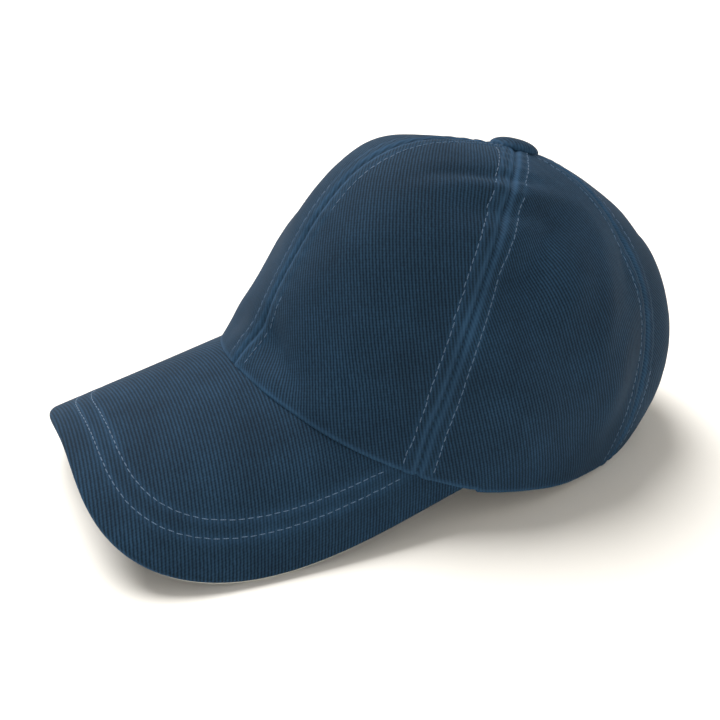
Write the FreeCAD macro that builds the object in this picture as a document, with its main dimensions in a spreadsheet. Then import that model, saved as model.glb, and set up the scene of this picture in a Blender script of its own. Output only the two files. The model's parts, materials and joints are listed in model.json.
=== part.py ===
import FreeCAD, Part
import Sketcher
import math
import os

# A six-panel baseball cap in cotton twill, lying on a flat surface.
#
# Sewing frame: Z up the crown, -Y towards the brim, +X the wearer's left, z = 0 the plane of
# the crown's base. Every piece is made in this frame and then takes one shared placement, which
# lays the cap down on the edges that it rests on.

Vector = FreeCAD.Vector
doc = FreeCAD.newDocument("baseball_cap")

SIZES = (
    # crown, measured on the outer face of the cloth
    ("crown_half_width", 79.5, "middle of the crown to its side, at the base"),
    ("crown_front_reach", 104.0, "middle of the crown to its front, at the base"),
    ("crown_back_reach", 113.0, "middle of the crown to its back, at the base"),
    ("crown_height", 114.5, "base plane to the top"),
    ("apex_setback", 11.7, "how far the top lies behind the middle of the base"),
    ("front_power", 3.18, "how late the front wall starts to turn in"),
    ("front_root", 2.8, "how tightly the front shoulder turns"),
    ("front_bulge", -0.113, "front wall pulled in at mid height, share of its reach"),
    ("side_power", 1.88, "how late the side wall starts to turn in"),
    ("side_root", 2.14, "how tightly the side shoulder turns"),
    ("side_bulge", 0.055, "side wall bulging out at mid height, share of its reach"),
    ("back_power", 1.6, "how late the back wall starts to turn in"),
    ("back_root", 2.1, "how tightly the back shoulder turns"),
    ("back_bulge", 0.12, "back wall bulging out at mid height, share of its reach"),
    ("side_seam_angle", 52.8, "front centre round to the front and side panels' seam"),
    ("rear_seam_angle", 125.7, "front centre round to the side and back panels' seam"),
    ("side_edge_drop", 5.0, "lowest point of the crown's edge, at its sides, below the base plane"),
    ("back_edge_rise", 13.0, "crown's edge at the back centre, above the base plane"),
    # layers of the crown, from the outer face inwards
    ("cloth_thickness", 1.0, "twill panel with its seam allowances"),
    ("layer_gap", 0.1, "room between two sewn layers"),
    ("tape_thickness", 0.6, "seam tape, and the stiff backing of the front panels"),
    ("tape_width", 12.0, "seam tape"),
    ("tape_start_radius", 14.0, "the tapes end this far from the crown's axis"),
    ("sweatband_thickness", 1.2, "folded sweatband"),
    ("sweatband_height", 32.0, "sweatband above the crown's edge"),
    # brim
    ("brim_length", 56.0, "crown's front to the brim's tip, in plan"),
    ("brim_half_width", 75.0, "middle of the brim to its side, in plan"),
    ("brim_root_setback", 33.0, "brim's ends in front of the crown's middle"),
    ("brim_outline_power", 3.6, "squareness of the brim's outline, 2 is an ellipse"),
    ("brim_slope", 26.2, "degrees that the brim falls from the crown to its tip"),
    ("brim_seat_height", 10.5, "brim's top face at the crown's front centre, above the base plane"),
    ("arch_margin", 5.0, "half width of the arch that the brim is bent to, beyond the brim's own"),
    ("arch_rise", 74.0, "height of that arch"),
    ("brim_cloth_thickness", 0.8, "cloth on the top and the underside of the brim"),
    ("brim_board_thickness", 2.2, "stiff board inside the brim"),
    ("brim_edge_seam", 0.5, "cloth beyond the board's edge"),
    # opening at the back, and its tape
    ("opening_radius", 46.0, "half-round opening in the back panels"),
    ("opening_centre_height", 14.0, "centre of that half round above the base plane"),
    ("opening_tape_width", 9.0, "tape sewn round the opening's edge, on the inside"),
    # strap and buckle
    ("strap_inset", 2.0, "crown's base outline to the strap's outer face"),
    ("strap_fit_angle", 138.7, "front centre round to where the strap has that inset again"),
    ("strap_thickness", 1.2, "folded twill strap"),
    ("strap_width", 16.0, "strap from edge to edge"),
    ("strap_height", 15.0, "strap's lower edge above the base plane"),
    ("strap_clearance", 0.3, "room round the strap where it slides"),
    ("strap_end_angle", 66.0, "sewn end of the strap, degrees to the right of the back centre"),
    ("strap_tail_angle", 50.0, "loose tail of the strap, degrees to the left"),
    ("tab_thickness", 1.0, "cloth tab that holds the buckle"),
    ("tab_end_angle", 52.0, "sewn end of the tab, degrees to the left of the back centre"),
    ("buckle_angle", 20.0, "middle of the buckle, degrees to the left of the back centre"),
    ("buckle_length", 20.0, "buckle's base plate along the strap"),
    ("buckle_wall", 1.0, "cheeks of the buckle"),
    ("buckle_plate", 0.8, "base plate behind the strap"),
    ("cheek_margin", 0.6, "cheeks above the lever's pin"),
    ("cheek_clearance", 0.4, "strap's edge to a cheek"),
    ("bar_radius", 0.9, "bar that the tab loops round"),
    ("bar_reach", 11.5, "middle of the buckle to the bar"),
    ("loop_lift", 0.1, "lowest point of the tab's loop above the tab's inner face"),
    ("pin_radius", 0.8, "lever's pin"),
    ("pin_reach", 5.0, "middle of the buckle to the pin, towards the bar"),
    ("barrel_clearance", 0.3, "lever's round end to the strap"),
    ("pin_clearance", 0.05, "pin to the lever's bore"),
    ("lever_barrel_radius", 1.5, "round end of the lever, about the pin"),
    ("lever_thickness", 1.0, "lever's plate"),
    ("lever_reach", 17.5, "pin to the lever's free end"),
    ("lever_side_clearance", 0.3, "lever to a cheek"),
    # button
    ("button_radius", 10.4, "covered button on top"),
    ("button_height", 4.0, "button above the crown"),
    ("button_lift", 0.1, "crown's top to the button's rim"),
    ("button_cloth", 0.7, "cloth over the button"),
    ("button_shell", 0.5, "sheet metal of the button"),
    ("rivet_radius", 1.8, "shank of the rivet through the crown"),
    ("rivet_head_radius", 6.5, "rivet's plate inside the button"),
    ("rivet_head_thickness", 0.8, "that plate"),
    ("washer_radius", 7.5, "washer inside the crown"),
    ("washer_thickness", 0.9, "that washer"),
)

# The strap's outer face is a circle in plan. It keeps one inset from the crown's base outline,
# which is an ellipse there, at the back centre and at the fit angle on both sides.
FITS = (
    ("strap_fit_reach",
     "=1 / sqrt((sin(sizes.strap_fit_angle * 1deg) / sizes.crown_half_width)^2"
     " + (cos(sizes.strap_fit_angle * 1deg) / sizes.crown_back_reach)^2) - sizes.strap_inset",
     "crown's middle to the strap at the fit angle"),
    ("strap_fit_side", "=strap_fit_reach * sin(sizes.strap_fit_angle * 1deg)",
     "that point from the middle plane"),
    ("strap_fit_drop",
     "=sizes.crown_back_reach - sizes.strap_inset"
     " + strap_fit_reach * cos(sizes.strap_fit_angle * 1deg)",
     "that point in front of the strap's rearmost point"),
    ("strap_radius", "=(strap_fit_side^2 + strap_fit_drop^2) / (2 * strap_fit_drop)",
     "outer face of the strap, about its own upright axis"),
    ("strap_axis_setback", "=sizes.crown_back_reach - sizes.strap_inset - strap_radius",
     "that axis behind the crown's middle"),
)


def filled_sheet(name, rows):
    item = doc.addObject("Spreadsheet::Sheet", name)
    for row, (alias, value, meaning) in enumerate(rows, start=1):
        item.set("A%d" % row, alias)
        item.set("B%d" % row, str(value))
        item.set("C%d" % row, meaning)
        item.setAlias("B%d" % row, alias)
    doc.recompute()
    return item


# the driving dimensions are plain numbers, and what follows from them has a sheet of its own
sizes = filled_sheet("sizes", SIZES)
fits = filled_sheet("fits", FITS)


def size(alias):
    return float(sizes.get(alias))


def fit(alias):
    return float(fits.get(alias))


def bind(item, **formulas):
    """Tie an object's properties to the sheet. Two underscores stand for a dot."""
    for name, formula in formulas.items():
        item.setExpression(name.replace("__", "."), formula)
    return item


# ---------------------------------------------------------------- helper objects

FAR = 260.0            # well outside the cap, for tools that cut right through it
MITRE = 0.5 * FAR


def solid_feature(name, shape):
    item = doc.addObject("Part::Feature", name)
    item.Shape = shape
    return item


def cut(name, base, tool):
    item = doc.addObject("Part::Cut", name)
    item.Base = base
    item.Tool = tool
    return item


def common(name, base, tool):
    item = doc.addObject("Part::Common", name)
    item.Base = base
    item.Tool = tool
    return item


def fuse(name, *items):
    item = doc.addObject("Part::MultiFuse", name)
    item.Shapes = list(items)
    return item


def mirrored(name, source):
    """The wearer's right-hand copy of a left-hand piece."""
    item = doc.addObject("Part::Mirroring", name)
    item.Source = source
    item.Normal = Vector(1, 0, 0)
    return item


def extruded(name, profile, direction, forward, backward="0"):
    item = doc.addObject("Part::Extrusion", name)
    item.Base = profile
    item.DirMode = "Custom"
    item.Dir = direction
    item.Solid = True
    return bind(item, LengthFwd=forward, LengthRev=backward)


def cylinder(name, radius, height, **formulas):
    item = doc.addObject("Part::Cylinder", name)
    return bind(item, Radius=radius, Height=height, **formulas)


# ---------------------------------------------------------------- crown form

def half_ellipse(half_width, reach, middle, towards_back):
    """Half an ellipse in plan, from side to side round the back or the front."""
    start = 0 if towards_back else 180
    arc = Part.makeCircle(1.0, Vector(0, 0, 0), Vector(0, 0, 1), start, start + 180)
    stretch = FreeCAD.Matrix()
    stretch.scale(half_width, reach, 1.0)
    stretch.move(middle)
    return arc.transformGeometry(stretch).Edges[0]


def wall_share(share, power, root, bulge):
    """A wall's reach at a share of the crown's height, as a share of its reach at the base."""
    if share <= 0:
        return 1 + math.pi * bulge * share
    return (1 - share ** power) ** (1 / root) + bulge * math.sin(math.pi * share)


SKIRT = 36.0                                         # form's wall below the base plane
DOME_ANGLES = (0, 11, 22, 33, 44, 54, 63, 71, 78, 83, 86.5)


def crown_form(name, depth):
    """The crown as a full form, its wall this deep inside the cloth's outer face.

    It is an egg in plan, so it is lofted through sections that join two half ellipses.
    """
    height = size("crown_height") - depth
    shares = [-SKIRT / height, -SKIRT / (2 * height)]
    shares += [math.sin(math.radians(angle)) for angle in DOME_ANGLES]
    wires = []
    for share in shares:
        reach = {}
        for wall in ("front", "side", "back"):
            form = (size(wall + "_power"), size(wall + "_root"), size(wall + "_bulge"))
            reach[wall] = wall_share(share, *form)
        half_width = (size("crown_half_width") - depth) * reach["side"]
        front = (size("crown_front_reach") - depth) * reach["front"]
        back = (size("crown_back_reach") - depth) * reach["back"]
        middle = Vector(0, size("apex_setback") * share, height * share)
        wires.append(Part.Wire([
            half_ellipse(half_width, back, middle, True),
            half_ellipse(half_width, front, middle, False),
        ]))
    return solid_feature(name, Part.makeLoft(wires, True, False))


def shell(name, outer_depth, inner_depth):
    return cut(name, crown_form(name + "_outer", outer_depth), crown_form(name + "_inner", inner_depth))


cloth = size("cloth_thickness")
gap = size("layer_gap")
tape_top = cloth + gap
tape_bottom = tape_top + size("tape_thickness")
band_top = tape_bottom + 2 * gap
band_bottom = band_top + size("sweatband_thickness")

# ---------------------------------------------------------------- crown's lower edge

slope = math.radians(size("brim_slope"))
BRIM_DIRECTION = Vector(0, -math.cos(slope), -math.sin(slope))
arch_back = size("brim_root_setback") - 5.0          # arch tool stops behind the brim's ends
arch_half_width = size("brim_half_width") + size("arch_margin")


def sag_arc(reach, rise):
    """Arc in the side view, level at the crown's sides, and this much higher at its end."""
    drop = -size("side_edge_drop")
    radius = (reach ** 2 + rise ** 2) / (2 * abs(rise))
    points = []
    for share in (0.0, 0.5, 1.0):
        y = reach * share
        points.append(Vector(0, y, drop + radius - math.sqrt(radius ** 2 - y ** 2)))
    return points


def below_edge(name, depth, lift):
    """All that lies under the crown's lower edge, raised by lift.

    Behind the brim the edge is two arcs in the side view. Over the brim it is the brim's
    arched top face, which shrinks with the depth of the layer so that all layers end level.
    """
    front = sag_arc(-size("crown_front_reach"), size("side_edge_drop"))
    back = sag_arc(size("crown_back_reach"), size("side_edge_drop") + size("back_edge_rise"))
    start = Vector(0, -FAR, front[2].z)
    end = Vector(0, FAR, back[2].z)
    low = Vector(0, 0, -FAR)
    outline = Part.Wire([
        Part.makeLine(start, front[2]),
        Part.Arc(front[2], front[1], front[0]).toShape(),
        Part.Arc(back[0], back[1], back[2]).toShape(),
        Part.makeLine(back[2], end),
        Part.makeLine(end, end + low),
        Part.makeLine(end + low, start + low),
        Part.makeLine(start + low, start),
    ])
    ring = Part.Face(outline).extrude(Vector(2 * FAR, 0, 0))
    ring.translate(Vector(-FAR, 0, lift))
    arch = arch_solid(depth)
    arch.translate(Vector(0, 0, lift))
    return solid_feature(name, ring.fuse(arch))


def arch_solid(depth):
    """All that lies under the brim's arched face, this deep below its top."""
    half_width = arch_half_width - depth
    rise = size("arch_rise") - depth
    centre = Vector(0, -size("crown_front_reach"), size("brim_seat_height") - size("arch_rise"))
    arc = Part.makeCircle(1.0, Vector(0, 0, 0), Vector(0, -1, 0), 0, 180)
    stretch = FreeCAD.Matrix()
    stretch.scale(half_width, 1.0, rise)
    stretch.move(centre)
    arc = arc.transformGeometry(stretch).Edges[0]
    left = arc.Vertexes[0].Point
    right = arc.Vertexes[-1].Point
    low = Vector(0, 0, -FAR)
    outline = Part.Wire([
        arc,
        Part.makeLine(right, right + low),
        Part.makeLine(right + low, left + low),
        Part.makeLine(left + low, left),
    ])
    behind = (size("crown_front_reach") - arch_back) / math.cos(slope)
    profile = Part.Face(outline)
    profile.translate(BRIM_DIRECTION * -behind)
    return profile.extrude(BRIM_DIRECTION * (behind + MITRE))


edge_tool = below_edge("below_panel_edge", 0.0, 0.0)
band_edge_tool = below_edge("below_sweatband", band_top, 0.0)
band_limit = below_edge("below_sweatband_top", band_top, size("sweatband_height"))

# ---------------------------------------------------------------- seam planes

lean = size("apex_setback") / size("crown_height")


def seam_placement(angle):
    """Frame of a seam: X outwards along it, Z up it, Y across it towards the back."""
    turn = math.radians(angle)
    outwards = Vector(math.sin(turn), -math.cos(turn), 0)
    across = Vector(0, lean, 1).cross(outwards).normalize()
    upwards = outwards.cross(across)
    axes = FreeCAD.Matrix(
        outwards.x, across.x, upwards.x, 0,
        outwards.y, across.y, upwards.y, 0,
        outwards.z, across.z, upwards.z, 0,
        0, 0, 0, 1,
    )
    return FreeCAD.Placement(axes)


def seam_box(name, angle, near, across, thickness):
    """A block along a seam's plane, from near its middle outwards, over a width across it."""
    item = doc.addObject("Part::Box", name)
    item.Length = 2 * FAR
    item.Height = 2 * FAR
    bind(item, Width=thickness)
    corner = FreeCAD.Placement(Vector(near, across, -FAR), FreeCAD.Rotation())
    item.Placement = seam_placement(angle).multiply(corner)
    return item


side_angle = size("side_seam_angle")
rear_angle = size("rear_seam_angle")
FRONT_CENTRE = 0.0
BACK_CENTRE = 180.0

left_half = seam_box("left_half", FRONT_CENTRE, -FAR, 0.0, str(FAR))
behind_side_seam = seam_box("behind_side_seam", side_angle, -FAR, 0.0, str(2 * FAR))
behind_rear_seam = seam_box("behind_rear_seam", rear_angle, -FAR, 0.0, str(2 * FAR))

# ---------------------------------------------------------------- opening at the back

def opening_tool(name, margin):
    """Prism through the back of the crown: a half round on straight legs."""
    sketch = doc.addObject("Sketcher::SketchObject", name + "_sketch")
    sketch.Placement = FreeCAD.Placement(Vector(0, 0, 0), FreeCAD.Rotation(Vector(1, 0, 0), 90))
    radius = size("opening_radius") + margin
    centre = Vector(0, size("opening_centre_height"), 0)
    foot = -SKIRT
    circle = Part.Circle(centre, Vector(0, 0, 1), radius)
    arc = sketch.addGeometry(Part.ArcOfCircle(circle, 0, math.pi), False)
    left = Vector(radius, centre.y, 0)
    right = Vector(-radius, centre.y, 0)
    leg_left = sketch.addGeometry(Part.LineSegment(Vector(radius, foot, 0), left), False)
    leg_right = sketch.addGeometry(Part.LineSegment(right, Vector(-radius, foot, 0)), False)
    base = sketch.addGeometry(Part.LineSegment(Vector(-radius, foot, 0), Vector(radius, foot, 0)), False)
    rule = Sketcher.Constraint
    sketch.addConstraint(rule("Coincident", leg_left, 2, arc, 1))
    sketch.addConstraint(rule("Coincident", arc, 2, leg_right, 1))
    sketch.addConstraint(rule("Coincident", leg_right, 2, base, 1))
    sketch.addConstraint(rule("Coincident", base, 2, leg_left, 1))
    sketch.addConstraint(rule("Vertical", leg_left))
    sketch.addConstraint(rule("Vertical", leg_right))
    sketch.addConstraint(rule("Horizontal", base))
    sketch.addConstraint(rule("PointOnObject", arc, 3, -2))
    sketch.addConstraint(rule("Horizontal", arc, 1, arc, 3))
    number = sketch.addConstraint(rule("Radius", arc, radius))
    bind(sketch, **{"Constraints[%d]" % number: "sizes.opening_radius + %g" % margin})
    number = sketch.addConstraint(rule("DistanceY", -1, 1, arc, 3, centre.y))
    bind(sketch, **{"Constraints[%d]" % number: "sizes.opening_centre_height"})
    sketch.addConstraint(rule("DistanceY", base, 1, -1, 1, -foot))
    return extruded(name, sketch, Vector(0, 1, 0), str(FAR))


opening = opening_tool("opening", 0.0)
opening_tape_limit = opening_tool("opening_tape_limit", size("opening_tape_width"))
opening_band_limit = opening_tool("opening_band_limit", gap)

# ---------------------------------------------------------------- panels

rivet_hole = cylinder("rivet_hole", "sizes.rivet_radius + sizes.layer_gap", str(2 * FAR),
                      Placement__Base__y="sizes.apex_setback")

cloth_shell = shell("cloth_shell", 0.0, cloth)
cloth_trimmed = cut("cloth_trimmed", cloth_shell, edge_tool)
cloth_bored = cut("cloth_bored", cloth_trimmed, rivet_hole)
cloth_left = common("cloth_left", cloth_bored, left_half)
cloth_rear = common("cloth_rear", cloth_left, behind_side_seam)

subparts = {}
subparts["front_panel_left"] = cut("front_panel_left", cloth_left, behind_side_seam)
subparts["side_panel_left"] = cut("side_panel_left", cloth_rear, behind_rear_seam)
back_whole = common("back_panel_whole", cloth_rear, behind_rear_seam)
subparts["back_panel_left"] = cut("back_panel_left", back_whole, opening)
for place in ("front", "side", "back"):
    left = subparts[place + "_panel_left"]
    subparts[place + "_panel_right"] = mirrored(place + "_panel_right", left)

# ---------------------------------------------------------------- seam tapes and front backing

lining_shell = shell("lining_shell", tape_top, tape_bottom)
lining = cut("lining_trimmed", lining_shell, edge_tool)
half_tape = size("tape_width") / 2
start = size("tape_start_radius")


def seam_tape(name, angle):
    """Tape that covers the raw edges along one seam, on the crown's inside."""
    near = start - size("apex_setback") * math.cos(math.radians(angle))
    strip = seam_box(name + "_strip", angle, near, -half_tape, "sizes.tape_width")
    return common(name, lining, strip)


subparts["front_centre_tape"] = seam_tape("front_centre_tape", FRONT_CENTRE)
subparts["side_seam_tape_left"] = seam_tape("side_seam_tape_left", side_angle)
subparts["rear_seam_tape_left"] = seam_tape("rear_seam_tape_left", rear_angle)
whole_back_tape = seam_tape("back_centre_tape_whole", BACK_CENTRE)
opening_margin = opening_tool("opening_tape_margin", size("opening_tape_width") + gap)
subparts["back_centre_tape"] = cut("back_centre_tape", whole_back_tape, opening_margin)
for place in ("side", "rear"):
    left = subparts[place + "_seam_tape_left"]
    subparts[place + "_seam_tape_right"] = mirrored(place + "_seam_tape_right", left)

backing_room = half_tape + gap
front_of_tape = seam_box("behind_front_backing", side_angle, -FAR, -backing_room, str(2 * FAR))
beside_tape = seam_box("beside_centre_tape", FRONT_CENTRE, -FAR, backing_room, str(FAR))
backing_half = common("backing_half", lining, beside_tape)
backing_sector = cut("backing_sector", backing_half, front_of_tape)
crown_middle = cylinder("crown_middle", "sizes.tape_start_radius", str(2 * FAR),
                        Placement__Base__y="sizes.apex_setback")
subparts["front_backing_left"] = cut("front_backing_left", backing_sector, crown_middle)
subparts["front_backing_right"] = mirrored("front_backing_right", subparts["front_backing_left"])

opening_ring = cut("opening_ring", opening_tape_limit, opening)
subparts["opening_tape"] = common("opening_tape", lining, opening_ring)

# ---------------------------------------------------------------- sweatband

band_shell = shell("band_shell", band_top, band_bottom)
band_low = common("band_low", band_shell, band_limit)
band_trimmed = cut("band_trimmed", band_low, band_edge_tool)
band_open = cut("band_open", band_trimmed, opening_band_limit)


def strap_ring(name, inner, outer, low, high, start_angle=None, span=None):
    """Part of an upright ring about the strap's axis. Angles run leftwards from the back."""
    angle = "360" if span is None else span
    pieces = []
    for which, radius in (("outer", outer), ("inner", inner)):
        item = cylinder(name + "_" + which, radius, "(%s) - (%s)" % (high, low), Angle=angle)
        bind(item, Placement__Base__y="fits.strap_axis_setback", Placement__Base__z=low)
        if start_angle is not None:
            item.Placement.Rotation = FreeCAD.Rotation(Vector(0, 0, 1), 0)
            bind(item, Placement__Rotation__Angle=start_angle)
        pieces.append(item)
    return cut(name, pieces[0], pieces[1])


STRAP_LOW = "sizes.strap_height"
STRAP_HIGH = "sizes.strap_height + sizes.strap_width"
TAB_INNER = "fits.strap_radius + sizes.strap_clearance"
TAB_OUTER = TAB_INNER + " + sizes.tab_thickness"
strap_room = strap_ring(
    "strap_room",
    "fits.strap_radius - sizes.strap_thickness - 2 * sizes.strap_clearance",
    TAB_OUTER + " + 2 * sizes.strap_clearance",
    STRAP_LOW + " - 2 * sizes.strap_clearance",
    STRAP_HIGH + " + 2 * sizes.strap_clearance",
)
subparts["sweatband"] = cut("sweatband", band_open, strap_room)

# ---------------------------------------------------------------- brim

def brim_outline(inset, depth):
    """Brim's outline in plan, a squared ellipse about the line between the brim's ends.

    The layers share the arch's middle, so a deeper one is narrower in the same ratio, and it
    also ends a little further back, which keeps the brim's edge square to its sloping face.
    """
    half_width = size("brim_half_width") * (1 - depth / arch_half_width) - inset
    root = -size("brim_root_setback")
    setback = depth * math.sin(slope) * math.cos(slope)
    reach = size("crown_front_reach") + size("brim_length") - inset - setback + root
    power = 2 / size("brim_outline_power")
    points = []
    for step in range(33):
        turn = math.pi * step / 32
        x = math.copysign(abs(math.cos(turn)) ** power, math.cos(turn)) * half_width
        points.append(Vector(x, root - reach * math.sin(turn) ** power, -FAR))
    curve = Part.BSplineCurve()
    curve.interpolate(points)
    closing = Part.makeLine(points[-1], points[0])
    prism = Part.Face(Part.Wire([curve.toShape(), closing])).extrude(Vector(0, 0, 2 * FAR))
    return prism


brim_cloth = size("brim_cloth_thickness")
board_top = gap + brim_cloth + gap
board_bottom = board_top + size("brim_board_thickness")


def brim_layer(name, top, bottom, inset, root_depth):
    """A layer of the brim between two depths, from its outline back to the crown's wall."""
    outline = brim_outline(inset, (top + bottom) / 2)
    layer = arch_solid(top).cut(arch_solid(bottom)).common(outline)
    whole = solid_feature(name + "_whole", layer)
    return cut(name, whole, crown_form(name + "_root", root_depth))


root_depth = tape_bottom + gap
board_inset = size("brim_edge_seam")
subparts["brim_top_cloth"] = brim_layer("brim_top_cloth", gap, gap + brim_cloth, 0.0, root_depth)
subparts["brim_board"] = brim_layer("brim_board", board_top, board_bottom, board_inset, cloth)
under_top = board_bottom + gap
subparts["brim_under_cloth"] = brim_layer(
    "brim_under_cloth", under_top, under_top + brim_cloth, 0.0, root_depth)

# ---------------------------------------------------------------- button on top

def turned(name, rows, centre_height):
    """A round piece about the crown's axis, from (radius, height) corners of half its section."""
    points = [Vector(radius, 0, height) for radius, height in rows]
    points.append(points[0])
    face = Part.Face(Part.makePolygon(points))
    profile = solid_feature(name + "_profile", face)
    item = doc.addObject("Part::Revolution", name)
    item.Source = profile
    item.Axis = Vector(0, 0, 1)
    item.Angle = 360
    item.Placement = FreeCAD.Placement(Vector(0, size("apex_setback"), centre_height), FreeCAD.Rotation())
    return item


def dome(name, radius, rise):
    """A low dome: the part of a squashed ball above its middle plane."""
    item = doc.addObject("Part::Ellipsoid", name)
    bind(item, Radius1=rise, Radius2=radius)
    item.Angle1 = 0
    item.Angle2 = 90
    return item


top_share = math.sin(math.radians(DOME_ANGLES[-1]))
crown_top = size("crown_height") * top_share
button_base = crown_top + size("button_lift")


def dome_shell(name, inset, thickness):
    """A hollow dome of one thickness, set in from the button's outer face."""
    outer = dome(name + "_outer", "sizes.button_radius - %g" % inset, "sizes.button_height - %g" % inset)
    deeper = inset + thickness
    inner = dome(name + "_inner", "sizes.button_radius - %g" % deeper, "sizes.button_height - %g" % deeper)
    item = cut(name, outer, inner)
    item.Placement = FreeCAD.Placement(Vector(0, size("apex_setback"), button_base), FreeCAD.Rotation())
    return item


button_cloth = size("button_cloth")
subparts["button_cover"] = dome_shell("button_cover", 0.0, button_cloth)
subparts["button_shell"] = dome_shell("button_shell", button_cloth, size("button_shell"))

rivet = size("rivet_radius")
head = size("rivet_head_radius")
head_thickness = size("rivet_head_thickness")
washer_thickness = size("washer_thickness")
inner_top = (size("crown_height") - tape_bottom - gap) * top_share
washer_top = inner_top - button_base
washer_bottom = washer_top - washer_thickness
tip = washer_bottom - gap
subparts["button_rivet"] = turned("button_rivet", (
    (0, head_thickness), (head, head_thickness), (head, 0), (rivet, 0),
    (rivet, washer_bottom), (2 * rivet, washer_bottom), (2 * rivet, tip - 0.6), (0, tip - 0.6),
), button_base)
subparts["button_washer"] = turned("button_washer", (
    (rivet, washer_top), (size("washer_radius"), washer_top),
    (size("washer_radius"), washer_bottom), (rivet, washer_bottom),
), button_base)

# ---------------------------------------------------------------- strap, tab and buckle

# Local frame of the buckle: X along the strap to the left, Y out of the cap, Z up, with the
# origin on the strap's outer face at mid width.
BACKWARD = 90.0                                       # the ring's zero angle points to the side


def ring_start(angle):
    """Start of a ring that is measured to the left of the back centre."""
    return "%g - (%s)" % (BACKWARD, angle)


strap_span = "sizes.strap_end_angle + sizes.strap_tail_angle"
subparts["strap"] = strap_ring(
    "strap", "fits.strap_radius - sizes.strap_thickness", "fits.strap_radius",
    STRAP_LOW, STRAP_HIGH, ring_start("sizes.strap_tail_angle"), strap_span)

axis_y = fit("strap_axis_setback")
mid_height = size("strap_height") + size("strap_width") / 2
buckle_turn = FreeCAD.Rotation(Vector(0, 0, 1), -size("buckle_angle"))
on_strap = FreeCAD.Placement(Vector(0, axis_y, mid_height), buckle_turn).multiply(
    FreeCAD.Placement(Vector(0, fit("strap_radius"), 0), FreeCAD.Rotation()))

half_strap = size("strap_width") / 2
cheek_inside = half_strap + size("cheek_clearance")
cheek_outside = cheek_inside + size("buckle_wall")


def local_box(name, x_range, y_range, z_range):
    item = doc.addObject("Part::Box", name)
    item.Length = x_range[1] - x_range[0]
    item.Width = y_range[1] - y_range[0]
    item.Height = z_range[1] - z_range[0]
    item.Placement.Base = Vector(x_range[0], y_range[0], z_range[0])
    return item


def local_pin(name, x, y, radius, half_length):
    item = doc.addObject("Part::Cylinder", name)
    item.Radius = radius
    item.Height = 2 * half_length
    item.Placement.Base = Vector(x, y, -half_length)
    return item



def bow(reach):
    """How far the strap falls away from its own tangent at this distance along it."""
    return reach ** 2 / (2 * fit("strap_radius"))


half_length = size("buckle_length") / 2
plate_top = -size("strap_thickness") - bow(half_length) - size("strap_clearance")
plate_low = plate_top - size("buckle_plate")
loop_radius = size("bar_radius") + gap + size("tab_thickness")
bar_rise = loop_radius + size("strap_clearance") + size("loop_lift") - bow(size("bar_reach"))
bar = (size("bar_reach"), bar_rise)
barrel = size("lever_barrel_radius")
pin = (size("pin_reach"), barrel + size("barrel_clearance") - bow(size("pin_reach")))
cheek_rise = pin[1] + size("pin_radius") + size("cheek_margin")
cheek_end = bar[0] + size("bar_radius") + size("buckle_wall")

frame_pieces = [
    local_box("buckle_plate", (-half_length, half_length), (plate_low, plate_top),
              (-cheek_outside, cheek_outside)),
    local_box("cheek_upper", (-half_length, cheek_end), (plate_low, cheek_rise),
              (cheek_inside, cheek_outside)),
    local_box("cheek_lower", (-half_length, cheek_end), (plate_low, cheek_rise),
              (-cheek_outside, -cheek_inside)),
    local_pin("buckle_bar", bar[0], bar[1], size("bar_radius"), cheek_outside),
]
frame_blank = fuse("buckle_blank", *frame_pieces)
frame_bore = local_pin("pin_bore", pin[0], pin[1], size("pin_radius"), FAR)
subparts["buckle_frame"] = cut("buckle_frame", frame_blank, frame_bore)

subparts["lever_pin"] = local_pin("lever_pin", pin[0], pin[1], size("pin_radius"), cheek_outside)

lever_half = cheek_inside - size("lever_side_clearance")
lever_top = pin[1] + barrel
lever_blank = fuse(
    "lever_blank",
    local_box("lever_plate", (pin[0] - size("lever_reach"), pin[0]),
              (lever_top - size("lever_thickness"), lever_top), (-lever_half, lever_half)),
    local_pin("lever_barrel", pin[0], pin[1], barrel, lever_half),
)
lever_bore = local_pin("lever_bore", pin[0], pin[1], size("pin_radius") + size("pin_clearance"), FAR)
subparts["buckle_lever"] = cut("buckle_lever", lever_blank, lever_bore)

for name in ("buckle_frame", "lever_pin", "buckle_lever"):
    subparts[name].Placement = on_strap.multiply(subparts[name].Placement)

bar_turn = math.degrees(math.atan2(bar[0], fit("strap_radius") + bar[1]))
tab_start = size("buckle_angle") + bar_turn
tab_run = strap_ring("tab_run", TAB_INNER, TAB_OUTER, STRAP_LOW, STRAP_HIGH,
                     ring_start("sizes.tab_end_angle"), "sizes.tab_end_angle - %g" % tab_start)
loop_outer = local_pin("tab_loop", bar[0], bar[1], loop_radius, half_strap)
loop_outer.Placement = on_strap.multiply(loop_outer.Placement)
tab_blank = fuse("tab_blank", tab_run, loop_outer)
bar_room = local_pin("bar_room", bar[0], bar[1], size("bar_radius") + gap, FAR)
bar_room.Placement = on_strap.multiply(bar_room.Placement)
subparts["buckle_tab"] = cut("buckle_tab", tab_blank, bar_room)

# ---------------------------------------------------------------- laying the cap down

doc.recompute()

MESH_STEP = 0.3


def low_outline(names):
    """Points of some sub-parts in the side view."""
    rows = []
    for name in names:
        rows += [(p.y, p.z) for p in subparts[name].Shape.tessellate(MESH_STEP)[0]]
    return rows


brim_rows = low_outline(["brim_under_cloth", "brim_top_cloth"])
crown_rows = low_outline(["side_panel_left", "back_panel_left", "sweatband"])


def lowest(rows, tilt):
    return min(z * math.cos(tilt) - y * math.sin(tilt) for y, z in rows)


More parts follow.
